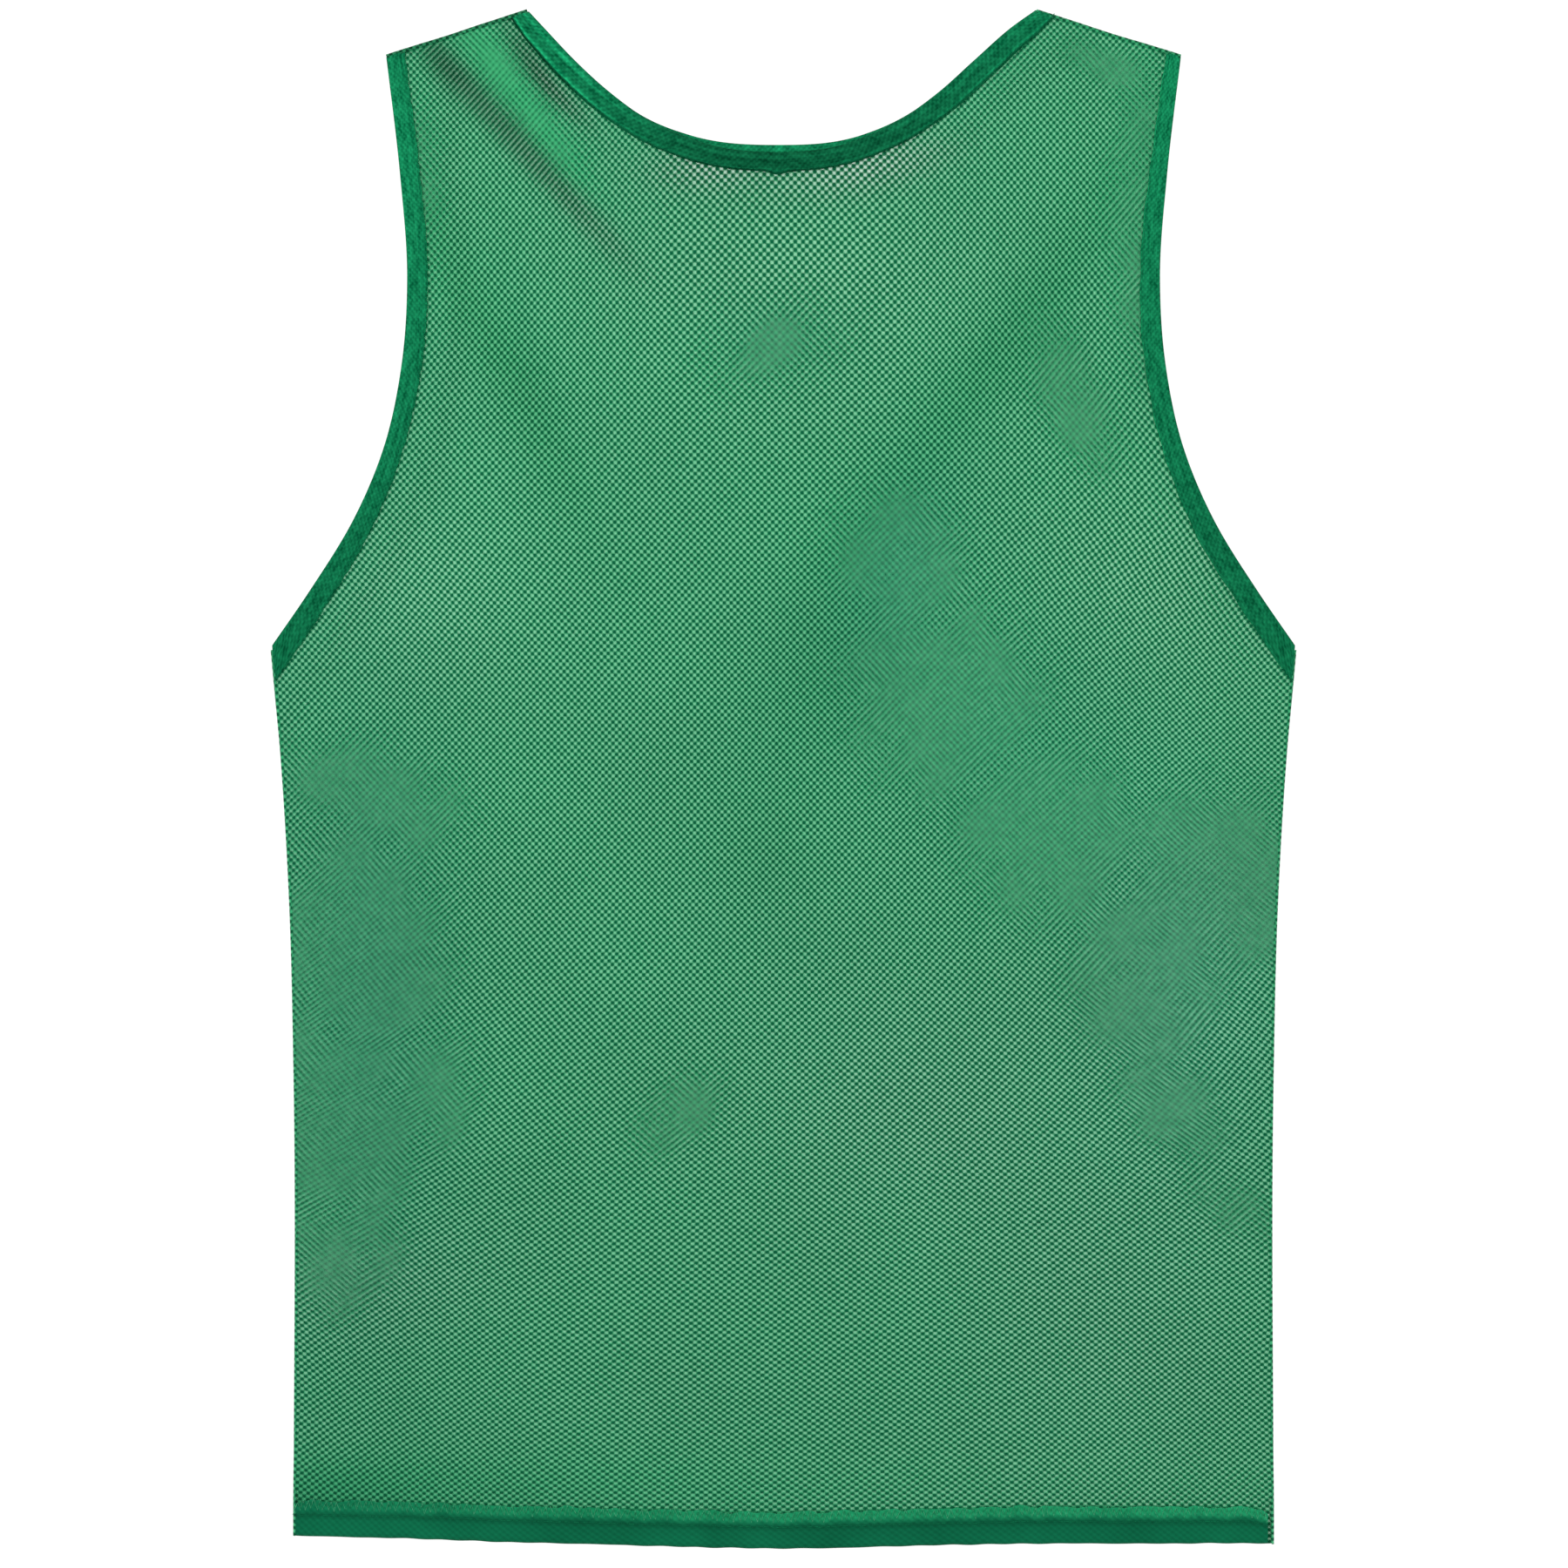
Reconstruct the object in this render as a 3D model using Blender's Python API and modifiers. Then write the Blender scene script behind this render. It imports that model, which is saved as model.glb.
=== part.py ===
"""Mesh training bib, laid flat on its back panel.

Metres, +Z up, +Y toward the neck. The origin is under the middle of the bib, on the surface that it lies on.
Two net panels lie on each other. A knit binding wraps the neck and each armhole, and a doubled band wraps the
hem; the front and back stretch of each is a piece of its own, parted at the shoulder and side seams.
"""
from collections import namedtuple

import bmesh
import bpy
import numpy as np

MM = 0.001

# Layers of cloth
WALL = 1.0 * MM                 # thickness of each layer
GAP = 0.3 * MM                  # air between two layers, and at each seam
LAYER = WALL + GAP

# Height of each panel's underside, where it is bound and where it lies free
BACK_BOUND = LAYER              # over the lower lip of its own binding
BACK_FREE = 0.0
FRONT_BOUND = 4 * LAYER         # over the back's three layers and its own lower lip
FRONT_FREE = LAYER

# Strips that wrap the edges
ARM_BINDING = 9.6 * MM
NECK_BINDING = 8.0 * MM
HEM_BAND = 18.0 * MM
BINDING_CAMBER = 0.4 * MM       # swell of the front strips' upper lip
FRONT_HEM_SHORT = 3.0 * MM      # the front band stops this far before the right side seam
FRONT_NECK_DROP = 3.6 * MM      # the front neckline hangs this far under the back's
NECK_DROP_REACH = 78.0 * MM     # to each side of the middle

# How far from a strip the panels take to come down to their free height
CLEAR_OF_STRIP = 4.2 * MM
BACK_SETTLE = 14.0 * MM
FRONT_SETTLE = 22.0 * MM
SIDE_SETTLE = 34.0 * MM         # folds die out toward the side seams
SHOULDER_SETTLE = 16.0 * MM     # the back follows the front's fold at the shoulder seam

# Grid lines that run along the edges, as distances from them
SIDE_STEPS = np.array([0.0, 13.0, 19.5, 28.0]) * MM
TOP_STEPS = np.array([0.0, 11.4, 18.0, 27.0]) * MM
HEM_STEPS = np.array([0.0, 21.0, 29.0, 40.0]) * MM
UNDERARM_STEPS = np.array([0.0, 18.0, 30.0]) * MM
STRAP_PARTS = 3
NECK_PARTS = 16
CHEST_ROWS = 9
FRONT_BODY_ROWS = 11
BACK_BODY_ROWS = 6

# Outline of the bib as it lies, in millimetres. y is measured toward the neck from the bib's middle
Side = namedtuple("Side", "y half_width")
SIDE_SEAM = [
    Side(-347.0, 225.0),
    Side(-138.0, 225.0),
    Side(-58.0, 227.0),
    Side(6.0, 230.7),
    Side(60.0, 235.4),
]
ARMHOLE = [
    Side(60.0, 235.4),
    Side(85.6, 218.2),
    Side(117.6, 198.4),
    Side(149.6, 184.6),
    Side(189.6, 175.7),
    Side(229.6, 173.0),
    Side(277.6, 176.2),
    Side(332.2, 182.6),
]
Neck = namedtuple("Neck", "y left right")
NECK = [
    Neck(353.0, -117.8, 116.2),
    Neck(344.0, -109.4, 103.6),
    Neck(329.6, -95.8, 87.4),
    Neck(315.2, -79.8, 71.0),
    Neck(305.6, -66.2, 57.0),
    Neck(296.2, -42.6, 35.4),
]
NECK_MIDDLE = (-3.8, 291.9)
Hem = namedtuple("Hem", "x y")
HEM = [
    Hem(-225.0, -347.2),
    Hem(-112.0, -350.6),
    Hem(0.0, -353.2),
    Hem(100.0, -351.2),
    Hem(225.0, -351.0),
]

# Soft folds of the front panel, in millimetres: a ridge from start to end, and its height's share at the start
Fold = namedtuple("Fold", "x0 y0 x1 y1 half_width height start_share")
FOLDS = [
    Fold(-141.0, 343.0, -70.0, 256.0, 11.5, 4.2, 0.45),
    Fold(-60.0, 210.0, 10.0, 60.0, 40.0, 1.5, 0.2),
    Fold(128.0, 215.0, 96.0, 60.0, 34.0, 1.4, 0.2),
    Fold(-168.0, 40.0, -110.0, -190.0, 38.0, 1.6, 0.2),
    Fold(60.0, 30.0, 168.0, -150.0, 42.0, 1.8, 0.2),
    Fold(-20.0, -60.0, 20.0, -290.0, 45.0, 1.3, 0.2),
]
FOLD_END = 40.0 * MM            # length over which a fold fades at each end

NET_COLOUR = "#3C9166"
KNIT_COLOUR = "#0D7B4C"
HEM_COLOUR = "#0B6846"


def unit(vectors):
    """The vectors, each at length 1."""
    return vectors / np.linalg.norm(vectors, axis=-1, keepdims=True)


def smooth_curve(table):
    """A smooth function through a table's rows, from its first column to its second."""
    xs, ys = np.array(table, dtype=float).T * MM
    slopes = np.gradient(ys, xs)

    def value(x):
        i = np.clip(np.searchsorted(xs, x) - 1, 0, len(xs) - 2)
        step = xs[i + 1] - xs[i]
        t = np.clip((x - xs[i]) / step, 0.0, 1.0)
        rise = ys[i + 1] - ys[i]
        bend = t * (1 - t) * step
        return ys[i] + rise * t * t * (3 - 2 * t) + bend * (slopes[i] * (1 - t) - slopes[i + 1] * t)

    return value


def straight_line(start, end):
    """The height of a straight line at any x."""
    slope = (end[1] - start[1]) / (end[0] - start[0])
    return lambda x: start[1] + slope * (x - start[0])


def moved_sideways(points, distance):
    """A row of points moved to the left of its run by a distance."""
    run = unit(np.gradient(points, axis=0))
    return points + distance * np.stack([-run[:, 1], run[:, 0]], axis=1)


def extended(points, length):
    """A row of points with a straight stretch added at each end."""
    before = points[0] + unit(points[0] - points[1]) * np.linspace(length, length / 20, 20)[:, None]
    after = points[-1] + unit(points[-1] - points[-2]) * np.linspace(length / 20, length, 20)[:, None]
    return np.concatenate([before, points, after])


def crossing(first, second, low, high):
    """Where two functions meet between low and high."""
    at = np.linspace(low, high, 4001)
    return at[np.argmin(np.abs(first(at) - second(at)))]


def fading(distance, full, reach):
    """1 up to the distance full, 0 past reach, and a smooth slope between them."""
    t = np.clip((distance - full) / (reach - full), 0.0, 1.0)
    return 1 - t * t * (3 - 2 * t)


def distance_to(points, line):
    """Each point's distance to a row of closely spaced points."""
    gaps = points[..., None, :] - line
    return np.linalg.norm(gaps, axis=-1).min(axis=-1)


class Outline:
    """The cut edges of one panel: the bib's outline, moved in by a layer wherever a strip wraps the edge."""

    def __init__(self, neck_drop):
        self.side_seam = smooth_curve(SIDE_SEAM)
        rows = np.linspace(ARMHOLE[0].y, ARMHOLE[-1].y, 161) * MM
        silhouette = np.stack([smooth_curve(ARMHOLE)(rows), rows], axis=1)
        self.armhole = extended(moved_sideways(silhouette, LAYER), 40 * MM)

        rim = [(row.left, row.y) for row in NECK] + [NECK_MIDDLE] + [(row.right, row.y) for row in NECK[::-1]]
        across = np.linspace(rim[0][0], rim[-1][0], 241) * MM
        from_middle = np.clip(np.abs(across - NECK_MIDDLE[0] * MM) / NECK_DROP_REACH, 0, 1)
        drop = neck_drop * np.cos(from_middle * np.pi / 2) ** 2
        silhouette = np.stack([across, smooth_curve(rim)(across) - drop], axis=1)
        self.neck = extended(moved_sideways(silhouette, -LAYER), 40 * MM)

        across = np.linspace(HEM[0].x, HEM[-1].x, 161) * MM
        self.hem = np.stack([across, smooth_curve(HEM)(across) + LAYER], axis=1)

        shoulder_end = np.array([ARMHOLE[-1].half_width, ARMHOLE[-1].y]) * MM
        self.left_shoulder = straight_line(shoulder_end * (-1, 1), silhouette[0])
        self.right_shoulder = straight_line(shoulder_end, silhouette[-1])

        self.underarm = crossing(self.armhole_x, self.side_seam, 45 * MM, 65 * MM)
        self.left_tip = crossing(self.neck_y, self.left_shoulder, -130 * MM, -105 * MM)
        self.right_tip = crossing(self.neck_y, self.right_shoulder, 105 * MM, 130 * MM)

    def armhole_x(self, y):
        return np.interp(y, self.armhole[:, 1], self.armhole[:, 0])

    def neck_y(self, x):
        return np.interp(x, self.neck[:, 0], self.neck[:, 1])

    def side_x(self, y):
        """Half the panel's width at a height."""
        return np.minimum(self.side_seam(y), self.armhole_x(y))

    def hem_y(self, x):
        return np.interp(x, self.hem[:, 0], self.hem[:, 1])

    def shoulder_y(self, x):
        return self.left_shoulder(x) if x < 0 else self.right_shoulder(x)

    def top_y(self, x):
        """The height of the shoulders and the neckline across the panel."""
        return min(self.shoulder_y(x), self.neck_y(x))

    def columns(self, y):
        """Every grid column's x at a height: along the sides, across the straps and across the neck."""
        slant = np.hypot(1, (self.side_x(y + MM) - self.side_x(y - MM)) / (2 * MM))
        from_side = self.side_x(y) - SIDE_STEPS * slant
        left_strap = np.linspace(-from_side[-1], self.left_tip, STRAP_PARTS + 1)[1:-1]
        right_strap = np.linspace(self.right_tip, from_side[-1], STRAP_PARTS + 1)[1:-1]
        neck = np.linspace(self.left_tip, self.right_tip, NECK_PARTS + 1)
        return np.concatenate([-from_side, left_strap, neck, right_strap, from_side[::-1]])

    def rows(self, x, body_rows):
        """Every grid row's y at an x: along the hem, up the body, at the underarm, up the chest, along the top."""
        slant = np.hypot(1, (self.top_y(x + MM) - self.top_y(x - MM)) / (2 * MM))
        hem = self.hem_y(x) + HEM_STEPS
        underarm = (self.underarm - UNDERARM_STEPS)[::-1]
        top = (self.top_y(x) - TOP_STEPS * slant)[::-1]
        body = np.linspace(hem[-1], underarm[0], body_rows + 1)[1:-1]
        chest = np.linspace(underarm[-1], top[0], CHEST_ROWS + 1)[1:-1]
        return np.concatenate([hem, body, underarm, chest, top])

    def grid(self, body_rows):
        """The panel's points, row by row from the hem. Each lies where its row and its column meet."""
        starts = self.rows(0.0, body_rows)
        points = np.zeros((len(starts), len(self.columns(0.0)), 2))
        for row, start in enumerate(starts):
            for column in range(points.shape[1]):
                y = start
                for _ in range(10):
                    x = self.columns(y)[column]
                    y = self.rows(x, body_rows)[row]
                points[row, column] = x, y
        return points


def fold_height(points):
    """Height that the front panel's folds add at each point."""
    height = np.zeros(points.shape[:-1])
    for fold in FOLDS:
        start, end = np.array([fold.x0, fold.y0]) * MM, np.array([fold.x1, fold.y1]) * MM
        length = np.linalg.norm(end - start)
        along = (points - start) @ unit(end - start)
        beside = (points - start) @ unit((end - start)[::-1] * (-1, 1))
        opening = fold.start_share + (1 - fold.start_share) * (1 - fading(along, 0.0, FOLD_END))
        opening = opening * (1 - fading(along, -FOLD_END, 0.0))
        closing = fading(along, length - FOLD_END, length)
        height += fold.height * MM * np.exp(-(beside / (fold.half_width * MM)) ** 2) * opening * closing
    return height


def undersides(outline, points, is_front):
    """Height of a panel's underside at each point: up over the strips, down between them, and over the folds."""
    mirrored = points * (-1, 1)
    clear = np.minimum.reduce([
        distance_to(points, outline.armhole) - ARM_BINDING,
        distance_to(mirrored, outline.armhole) - ARM_BINDING,
        distance_to(points, outline.neck) - NECK_BINDING,
        distance_to(points, outline.hem) - HEM_BAND,
    ])
    from_side = outline.side_seam(points[..., 1]) - np.abs(points[..., 0])
    folds = fold_height(points) * (1 - fading(clear, CLEAR_OF_STRIP, BACK_SETTLE))
    if is_front:
        bound = fading(clear, CLEAR_OF_STRIP, FRONT_SETTLE)
        folds = folds * (1 - fading(from_side, 0.0, SIDE_SETTLE))
        return FRONT_FREE + (FRONT_BOUND - FRONT_FREE) * bound + folds
    bound = fading(clear, CLEAR_OF_STRIP, BACK_SETTLE)
    shoulder = np.vectorize(outline.shoulder_y)(points[..., 0])
    near_shoulder = fading(shoulder - points[..., 1], 0.0, SHOULDER_SETTLE)
    return BACK_FREE + (BACK_BOUND - BACK_FREE) * bound + folds * near_shoulder


def make_material(name, colour, roughness):
    """A plain cloth finish from an sRGB hex colour."""
    srgb = [int(colour[i:i + 2], 16) / 255 for i in (1, 3, 5)]
    linear = [c / 12.92 if c <= 0.04045 else ((c + 0.055) / 1.055) ** 2.4 for c in srgb]
    material = bpy.data.materials.new(name)
    material.use_nodes = True
    shader = material.node_tree.nodes["Principled BSDF"]
    shader.inputs["Base Color"].default_value = (*linear, 1.0)
    shader.inputs["Roughness"].default_value = roughness
    shader.inputs["Metallic"].default_value = 0.0
    return material


def add_object(name, mesh_data, material, collection):
    """Turn a bmesh into a smooth-shaded object in the bib's collection."""
    mesh = bpy.data.meshes.new(name)
    mesh_data.to_mesh(mesh)
    mesh_data.free()
    mesh.materials.append(material)
    mesh.shade_smooth()
    mesh.set_sharp_from_angle(angle=np.radians(40))
    part = bpy.data.objects.new(name, mesh)
    collection.objects.link(part)
    return part


def add_panel(name, points, heights, material, collection):
    """A net panel: an open sheet over its grid, given a wall that grows upward from its underside.

    Each cell is split along its higher diagonal, so that the sheet stays clear of the strips where they end.
    """
    sheet = bmesh.new()
    lines = [[sheet.verts.new((*point, height)) for point, height in zip(row, levels)]
             for row, levels in zip(points, heights)]
    for low, high in zip(lines, lines[1:]):
        for i in range(len(low) - 1):
            a, b, c, d = low[i], low[i + 1], high[i + 1], high[i]
            rising = a.co.z + c.co.z > b.co.z + d.co.z
            for face in ((a, c, d), (a, b, c)) if rising else ((a, b, d), (b, c, d)):
                sheet.faces.new(face)
    panel = add_object(name, sheet, material, collection)
    wall = panel.modifiers.new("cloth wall", "SOLIDIFY")
    wall.thickness = WALL
    wall.offset = 1.0
    return panel


def strip_section(width, camber):
    """A strip's closed section round a panel's edge: depth into the cloth, height over the panel's underside."""
    inside = [(width, -GAP), (-GAP, -GAP), (-GAP, LAYER), (width, LAYER)]
    upper_lip = [(width, LAYER + WALL), (width / 2, LAYER + WALL + camber)]
    middle = WALL / 2
    turns = np.radians([90, 45, 0, -45, -90])
    rounded_edge = [(-LAYER * np.cos(turn), middle + (LAYER + middle) * np.sin(turn)) for turn in turns]
    return inside + upper_lip + rounded_edge + [(width, -LAYER)]


def add_strip(name, edge, side, seams, section, level, material, collection):
    """A strip lofted along a panel's edge points. Its ends follow the seams that close them."""
    run = unit(np.gradient(edge, axis=0))
    inward = side * np.stack([-run[:, 1], run[:, 0]], axis=1)
    for end, seam in zip((0, -1), seams):
        along = unit(np.asarray(seam))
        inward[end] = along / (along @ inward[end])
    loft = bmesh.new()
    rings = [[loft.verts.new((*(point + step * depth), level + height)) for depth, height in section]
             for point, step in zip(edge, inward)]
    for ring, following in zip(rings, rings[1:]):
        for i, vert in enumerate(ring):
            j = (i + 1) % len(ring)
            loft.faces.new((vert, ring[j], following[j], following[i]))
    loft.faces.new(rings[0])
    loft.faces.new(rings[-1])
    bmesh.ops.recalc_face_normals(loft, faces=loft.faces)
    return add_object(name, loft, material, collection)


def add_side(name, is_front, materials, collection):
    """The front or the back of the bib: its panel and the four strips that wrap the panel's edges."""
    outline = Outline(FRONT_NECK_DROP if is_front else 0.0)
    body_rows = FRONT_BODY_ROWS if is_front else BACK_BODY_ROWS
    level = FRONT_BOUND if is_front else BACK_BOUND
    camber = BINDING_CAMBER if is_front else 0.0
    points = outline.grid(body_rows)
    add_panel(f"{name}_panel", points, undersides(outline, points, is_front), materials["net"], collection)

    underarm_row = len(HEM_STEPS) + body_rows - 1 + len(UNDERARM_STEPS) - 1
    neck_start = len(SIDE_STEPS) + STRAP_PARTS - 1
    hem, neck = points[0, ::2], points[-1, neck_start:neck_start + NECK_PARTS + 1]
    left_arm, right_arm = points[underarm_row:, 0], points[underarm_row:, -1]
    left_side, right_side = points[0, 0] - points[1, 0], points[0, -1] - points[1, -1]
    left_shoulder = points[-1, 1] - points[-1, 0]
    right_shoulder = points[-1, -2] - points[-1, -1]
    if is_front:
        hem = hem.copy()
        hem[-1, 0] -= FRONT_HEM_SHORT

    knit_section = strip_section(ARM_BINDING, camber)
    side_below = points[underarm_row - 1, -1] - points[underarm_row, -1]
    add_strip(f"arm_binding_left_{name}", left_arm, -1, (side_below * (-1, 1), left_shoulder),
              knit_section, level, materials["knit"], collection)
    add_strip(f"arm_binding_right_{name}", right_arm, 1, (side_below, right_shoulder),
              knit_section, level, materials["knit"], collection)
    add_strip(f"neck_binding_{name}", neck, -1, (-left_shoulder, -right_shoulder),
              strip_section(NECK_BINDING, camber), level, materials["knit"], collection)
    add_strip(f"hem_band_{name}", hem, 1, (-left_side, -right_side),
              strip_section(HEM_BAND, camber), level, materials["hem"], collection)


def build():
    for old in list(bpy.data.objects):
        bpy.data.objects.remove(old, do_unlink=True)
    collection = bpy.data.collections.new("mesh_training_bib")
    bpy.context.scene.collection.children.link(collection)
    materials = {
        "net": make_material("green polyester net", NET_COLOUR, 0.75),
        "knit": make_material("green rib knit binding", KNIT_COLOUR, 0.85),
        "hem": make_material("doubled green net hem", HEM_COLOUR, 0.8),
    }
    add_side("back", False, materials, collection)
    add_side("front", True, materials, collection)


build()
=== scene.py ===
"""Mesh training bib laid flat on a pale table, seen from straight above."""

import bmesh
import bpy
import numpy as np
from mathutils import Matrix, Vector


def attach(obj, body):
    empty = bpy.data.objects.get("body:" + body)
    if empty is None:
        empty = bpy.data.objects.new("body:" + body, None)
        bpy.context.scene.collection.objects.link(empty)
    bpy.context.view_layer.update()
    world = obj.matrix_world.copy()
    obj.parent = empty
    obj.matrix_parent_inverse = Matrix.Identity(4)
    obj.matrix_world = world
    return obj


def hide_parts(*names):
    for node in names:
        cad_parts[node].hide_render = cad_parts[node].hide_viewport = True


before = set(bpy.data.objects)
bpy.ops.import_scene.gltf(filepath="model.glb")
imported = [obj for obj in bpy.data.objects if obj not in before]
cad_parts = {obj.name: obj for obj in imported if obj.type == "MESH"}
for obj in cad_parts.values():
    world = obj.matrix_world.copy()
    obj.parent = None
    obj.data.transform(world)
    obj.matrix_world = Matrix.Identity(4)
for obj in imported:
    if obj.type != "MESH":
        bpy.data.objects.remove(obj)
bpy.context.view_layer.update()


# Back net panel
# One layer of warp-knitted polyester net, cut to the bib's outline and laid on the table. Its small round
# holes show through the front's. All pieces follow this outline, with x to the right and y to the neck.
MM = 0.001
PLY = 1.3 * MM                  # one layer of cloth with the air over it
NET_THICKNESS = 0.45 * MM
WALL_MIDDLE = 0.5 * MM          # middle of the solid's wall over its underside
SEAM_ROOM = 0.8 * MM            # left at the side and shoulder edges for the rolled seam
BACK_BOUND, BACK_FREE = PLY, 0.0
FRONT_BOUND, FRONT_FREE = 4 * PLY, PLY
ARM_BINDING, NECK_BINDING, HEM_BAND = 9.6 * MM, 8.0 * MM, 18.0 * MM
CLEAR_OF_STRIP, BACK_SETTLE, FRONT_SETTLE = 4.2 * MM, 14.0 * MM, 22.0 * MM
SIDE_SETTLE, SHOULDER_SETTLE = 34.0 * MM, 16.0 * MM

# Outline in millimetres: y and half width of the sides and armholes, x and y of the neck and hem
SIDE_SEAM = [(-347, 225), (-138, 225), (-58, 227), (6, 230.7), (60, 235.4)]
ARMHOLE = [(60, 235.4), (85.6, 217.8), (117.6, 198.0), (149.6, 184.2),
           (189.6, 175.3), (229.6, 172.7), (277.6, 176), (332.2, 182.4)]
NECK = [(-117.8, 353), (-109.4, 344), (-95.8, 329.6), (-79.8, 315), (-66.2, 305.2), (-42.6, 295.4),
        (-3.8, 291), (35.4, 295.4), (57, 305), (71, 314.9), (87.4, 329.6), (103.6, 344), (116.2, 353)]
HEM = [(-225, -347.2), (-112, -350.6), (0, -353.2), (100, -351.2), (225, -351)]
NECK_MIDDLE, NECK_DROP_REACH = -3.8 * MM, 78 * MM
HEM_WAVE = 0.22 * MM

# Main folds in millimetres: start, end, half width, height and its share at the start
FOLDS = [
    (-141, 343, -70, 256, 11.5, 4.2, 0.45),
    (-60, 210, 10, 60, 40, 1.5, 0.2),
    (128, 215, 96, 60, 34, 1.4, 0.2),
    (-168, 40, -110, -190, 38, 1.6, 0.2),
    (60, 30, 168, -150, 42, 1.8, 0.2),
    (-20, -60, 20, -290, 45, 1.3, 0.2),
]
FOLD_END = 40 * MM
BACK_CREASES = [
    (-150, 210, -96, 40, 15, 0.16), (-60, 250, -20, 120, 20, -0.14), (96, 262, 150, 110, 17, 0.15),
    (40, 40, 84, -160, 22, 0.16), (-190, -40, -150, -240, 18, -0.16), (-70, -90, -92, -300, 24, 0.14),
    (150, -60, 176, -260, 18, 0.15), (10, -200, 60, -330, 16, -0.13),
]

# Net cell, in millimetres: y, half its width and half its height. The net is stretched wide towards the hem
NET_CELLS = [(-345, 1.99, 1.34), (-200, 1.88, 1.50), (-60, 1.60, 1.63), (60, 1.58, 1.66), (180, 1.74, 1.74),
             (260, 1.78, 1.78), (320, 1.78, 1.62), (350, 1.78, 1.52)]
# Where the net isn't stretched wide: millimetres from the middle, more columns a millimetre past that, and
# the heights between which this sets in
GATHERS = [(50, 0.10, 100, 220), (110, 0.06, -200, -290)]
# Where rows of holes bow: x, y, reach across and up, rise, all in millimetres
ROW_BOWS = [(230, 60, 95, 100, -18), (-262, -250, 95, 130, 17), (-4, 300, 60, 70, 6),
            (120, -250, 120, 100, 4)]
# Where the back net has slipped under the front: x, y, reach along and across, angle, slip in cells each way
SLIPS = [
    (54, 98, 40, 34, -62, 0.50, 0.50), (74, 36, 56, 49, -55, 0.50, 0.49),
    (120, -24, 54, 44, -55, 0.50, 0.50), (164, -92, 46, 38, -60, 0.49, 0.50),
    (178, -150, 34, 24, -40, 0.40, 0.40), (206, -196, 28, 14, -35, 0.34, 0.34),
    (198, -48, 50, 50, 0, 0.50, 0.49), (-186, -8, 48, 27, -20, 0.49, 0.47),
    (-194, -78, 46, 66, 0, 0.50, 0.49), (-202, -154, 42, 64, 0, 0.50, 0.49),
    (-162, -142, 26, 38, 0, 0.44, 0.42), (-202, -216, 32, 36, 0, 0.44, 0.43),
    (-6, 197, 21, 15, 35, 0.50, 0.50), (-2, 199, 38, 24, 20, 0.26, 0.24),
    (-48, -154, 27, 17, 40, 0.46, 0.44), (-124, 316, 53, 10.5, -53, 0.40, 0.42),
    (-136, 306, 56, 6.5, -47, 0.48, 0.08), (150, 327, 24, 10, -18, 0.46, 0.40),
    (163, 258, 74, 19, -88, 0.36, 0.36), (133, 176, 42, 18, -65, 0.46, 0.44),
    (-166, 268, 46, 12, -85, 0.26, 0.24), (104, 330, 18, 11, 50, 0.30, 0.08),
]
SLIP_UNEVENNESS = 0.32          # the nets drift in and out of step there, so stripes and flat spots mix

# Soft patches in millimetres: x, y, reach along and across, angle, and how much lighter, more open and
# bluer they are. Some paint highlight and shade on the strap's fold and along creases; the others are uneven
# tone
PATCHES = [
    # The first seven rows paint the left strap's fold: a highlight on its ridge and shade in the valleys
    # either side
    (-135, 331, 24, 10.5, -53, 0.12, -0.12, -0.05), (-110, 297, 34, 7.5, -53, 0.19, -0.13, -0.05),
    (-155, 328, 22, 8, -47, -0.50, -0.04, 0), (-127, 299, 34, 7, -47, -0.45, 0.04, 0),
    (-94, 262, 34, 6.5, -47, -0.34, 0.06, 0), (-117, 331, 24, 5.5, -54, -0.55, 0.02, 0),
    (-101, 312, 20, 5, -43, -0.34, 0.08, 0), (-34, 280, 26, 10, 0, -0.22, 0.28, 0),
    (38, 281, 34, 10, 12, -0.18, 0.32, 0), (10, 236, 95, 46, 0, -0.05, 0.06, 0),
    (104, 203, 95, 17, 54, -0.10, -0.11, -0.03), (25, 70, 85, 30, 66, -0.08, -0.08, 0),
    (-8, -36, 20, 22, 0, -0.08, -0.03, -0.02), (-138, 208, 90, 13, -62, -0.09, -0.09, -0.05),
    (-116, 196, 60, 9, -75, -0.05, -0.04, 0), (-3, 203, 36, 20, 0, -0.02, -0.08, 0.07),
    (12, 215, 75, 60, 0, 0.04, 0.06, -0.02), (-163, 85, 46, 44, 0, 0.05, 0.09, 0),
    (168, 90, 60, 48, -30, 0.04, 0.09, -0.03), (-188, -100, 130, 38, 90, -0.14, -0.07, 0.14),
    (185, -95, 85, 46, 90, -0.03, 0.05, 0.15), (55, 100, 50, 24, 70, 0, -0.04, 0.12),
    (105, 20, 75, 60, -60, 0.02, -0.05, 0.08), (60, -150, 80, 60, 0, -0.03, 0.09, 0.03),
    (150, -250, 70, 70, 0, -0.02, 0.07, 0.02), (-190, -235, 60, 26, 10, -0.04, 0.08, 0.02),
    (-30, -260, 150, 60, 0, -0.02, 0, 0), (-212, -328, 46, 14, 0, -0.16, -0.16, 0),
    (-110, -325, 110, 18, 0, -0.02, -0.09, 0), (-196, -290, 60, 60, 0, -0.06, -0.02, 0),
]


def unit(vectors):
    return vectors / np.linalg.norm(vectors, axis=-1, keepdims=True)


def smooth_curve(rows):
    """A smooth function through rows of two columns, in metres."""
    xs, ys = np.array(rows, dtype=float).T * MM
    slopes = np.gradient(ys, xs)

    def value(x):
        i = np.clip(np.searchsorted(xs, x) - 1, 0, len(xs) - 2)
        step = xs[i + 1] - xs[i]
        t = np.clip((x - xs[i]) / step, 0, 1)
        bend = t * (1 - t) * step
        smooth = ys[i] + (ys[i + 1] - ys[i]) * t * t * (3 - 2 * t)
        return smooth + bend * (slopes[i] * (1 - t) - slopes[i + 1] * t)

    return value


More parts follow.
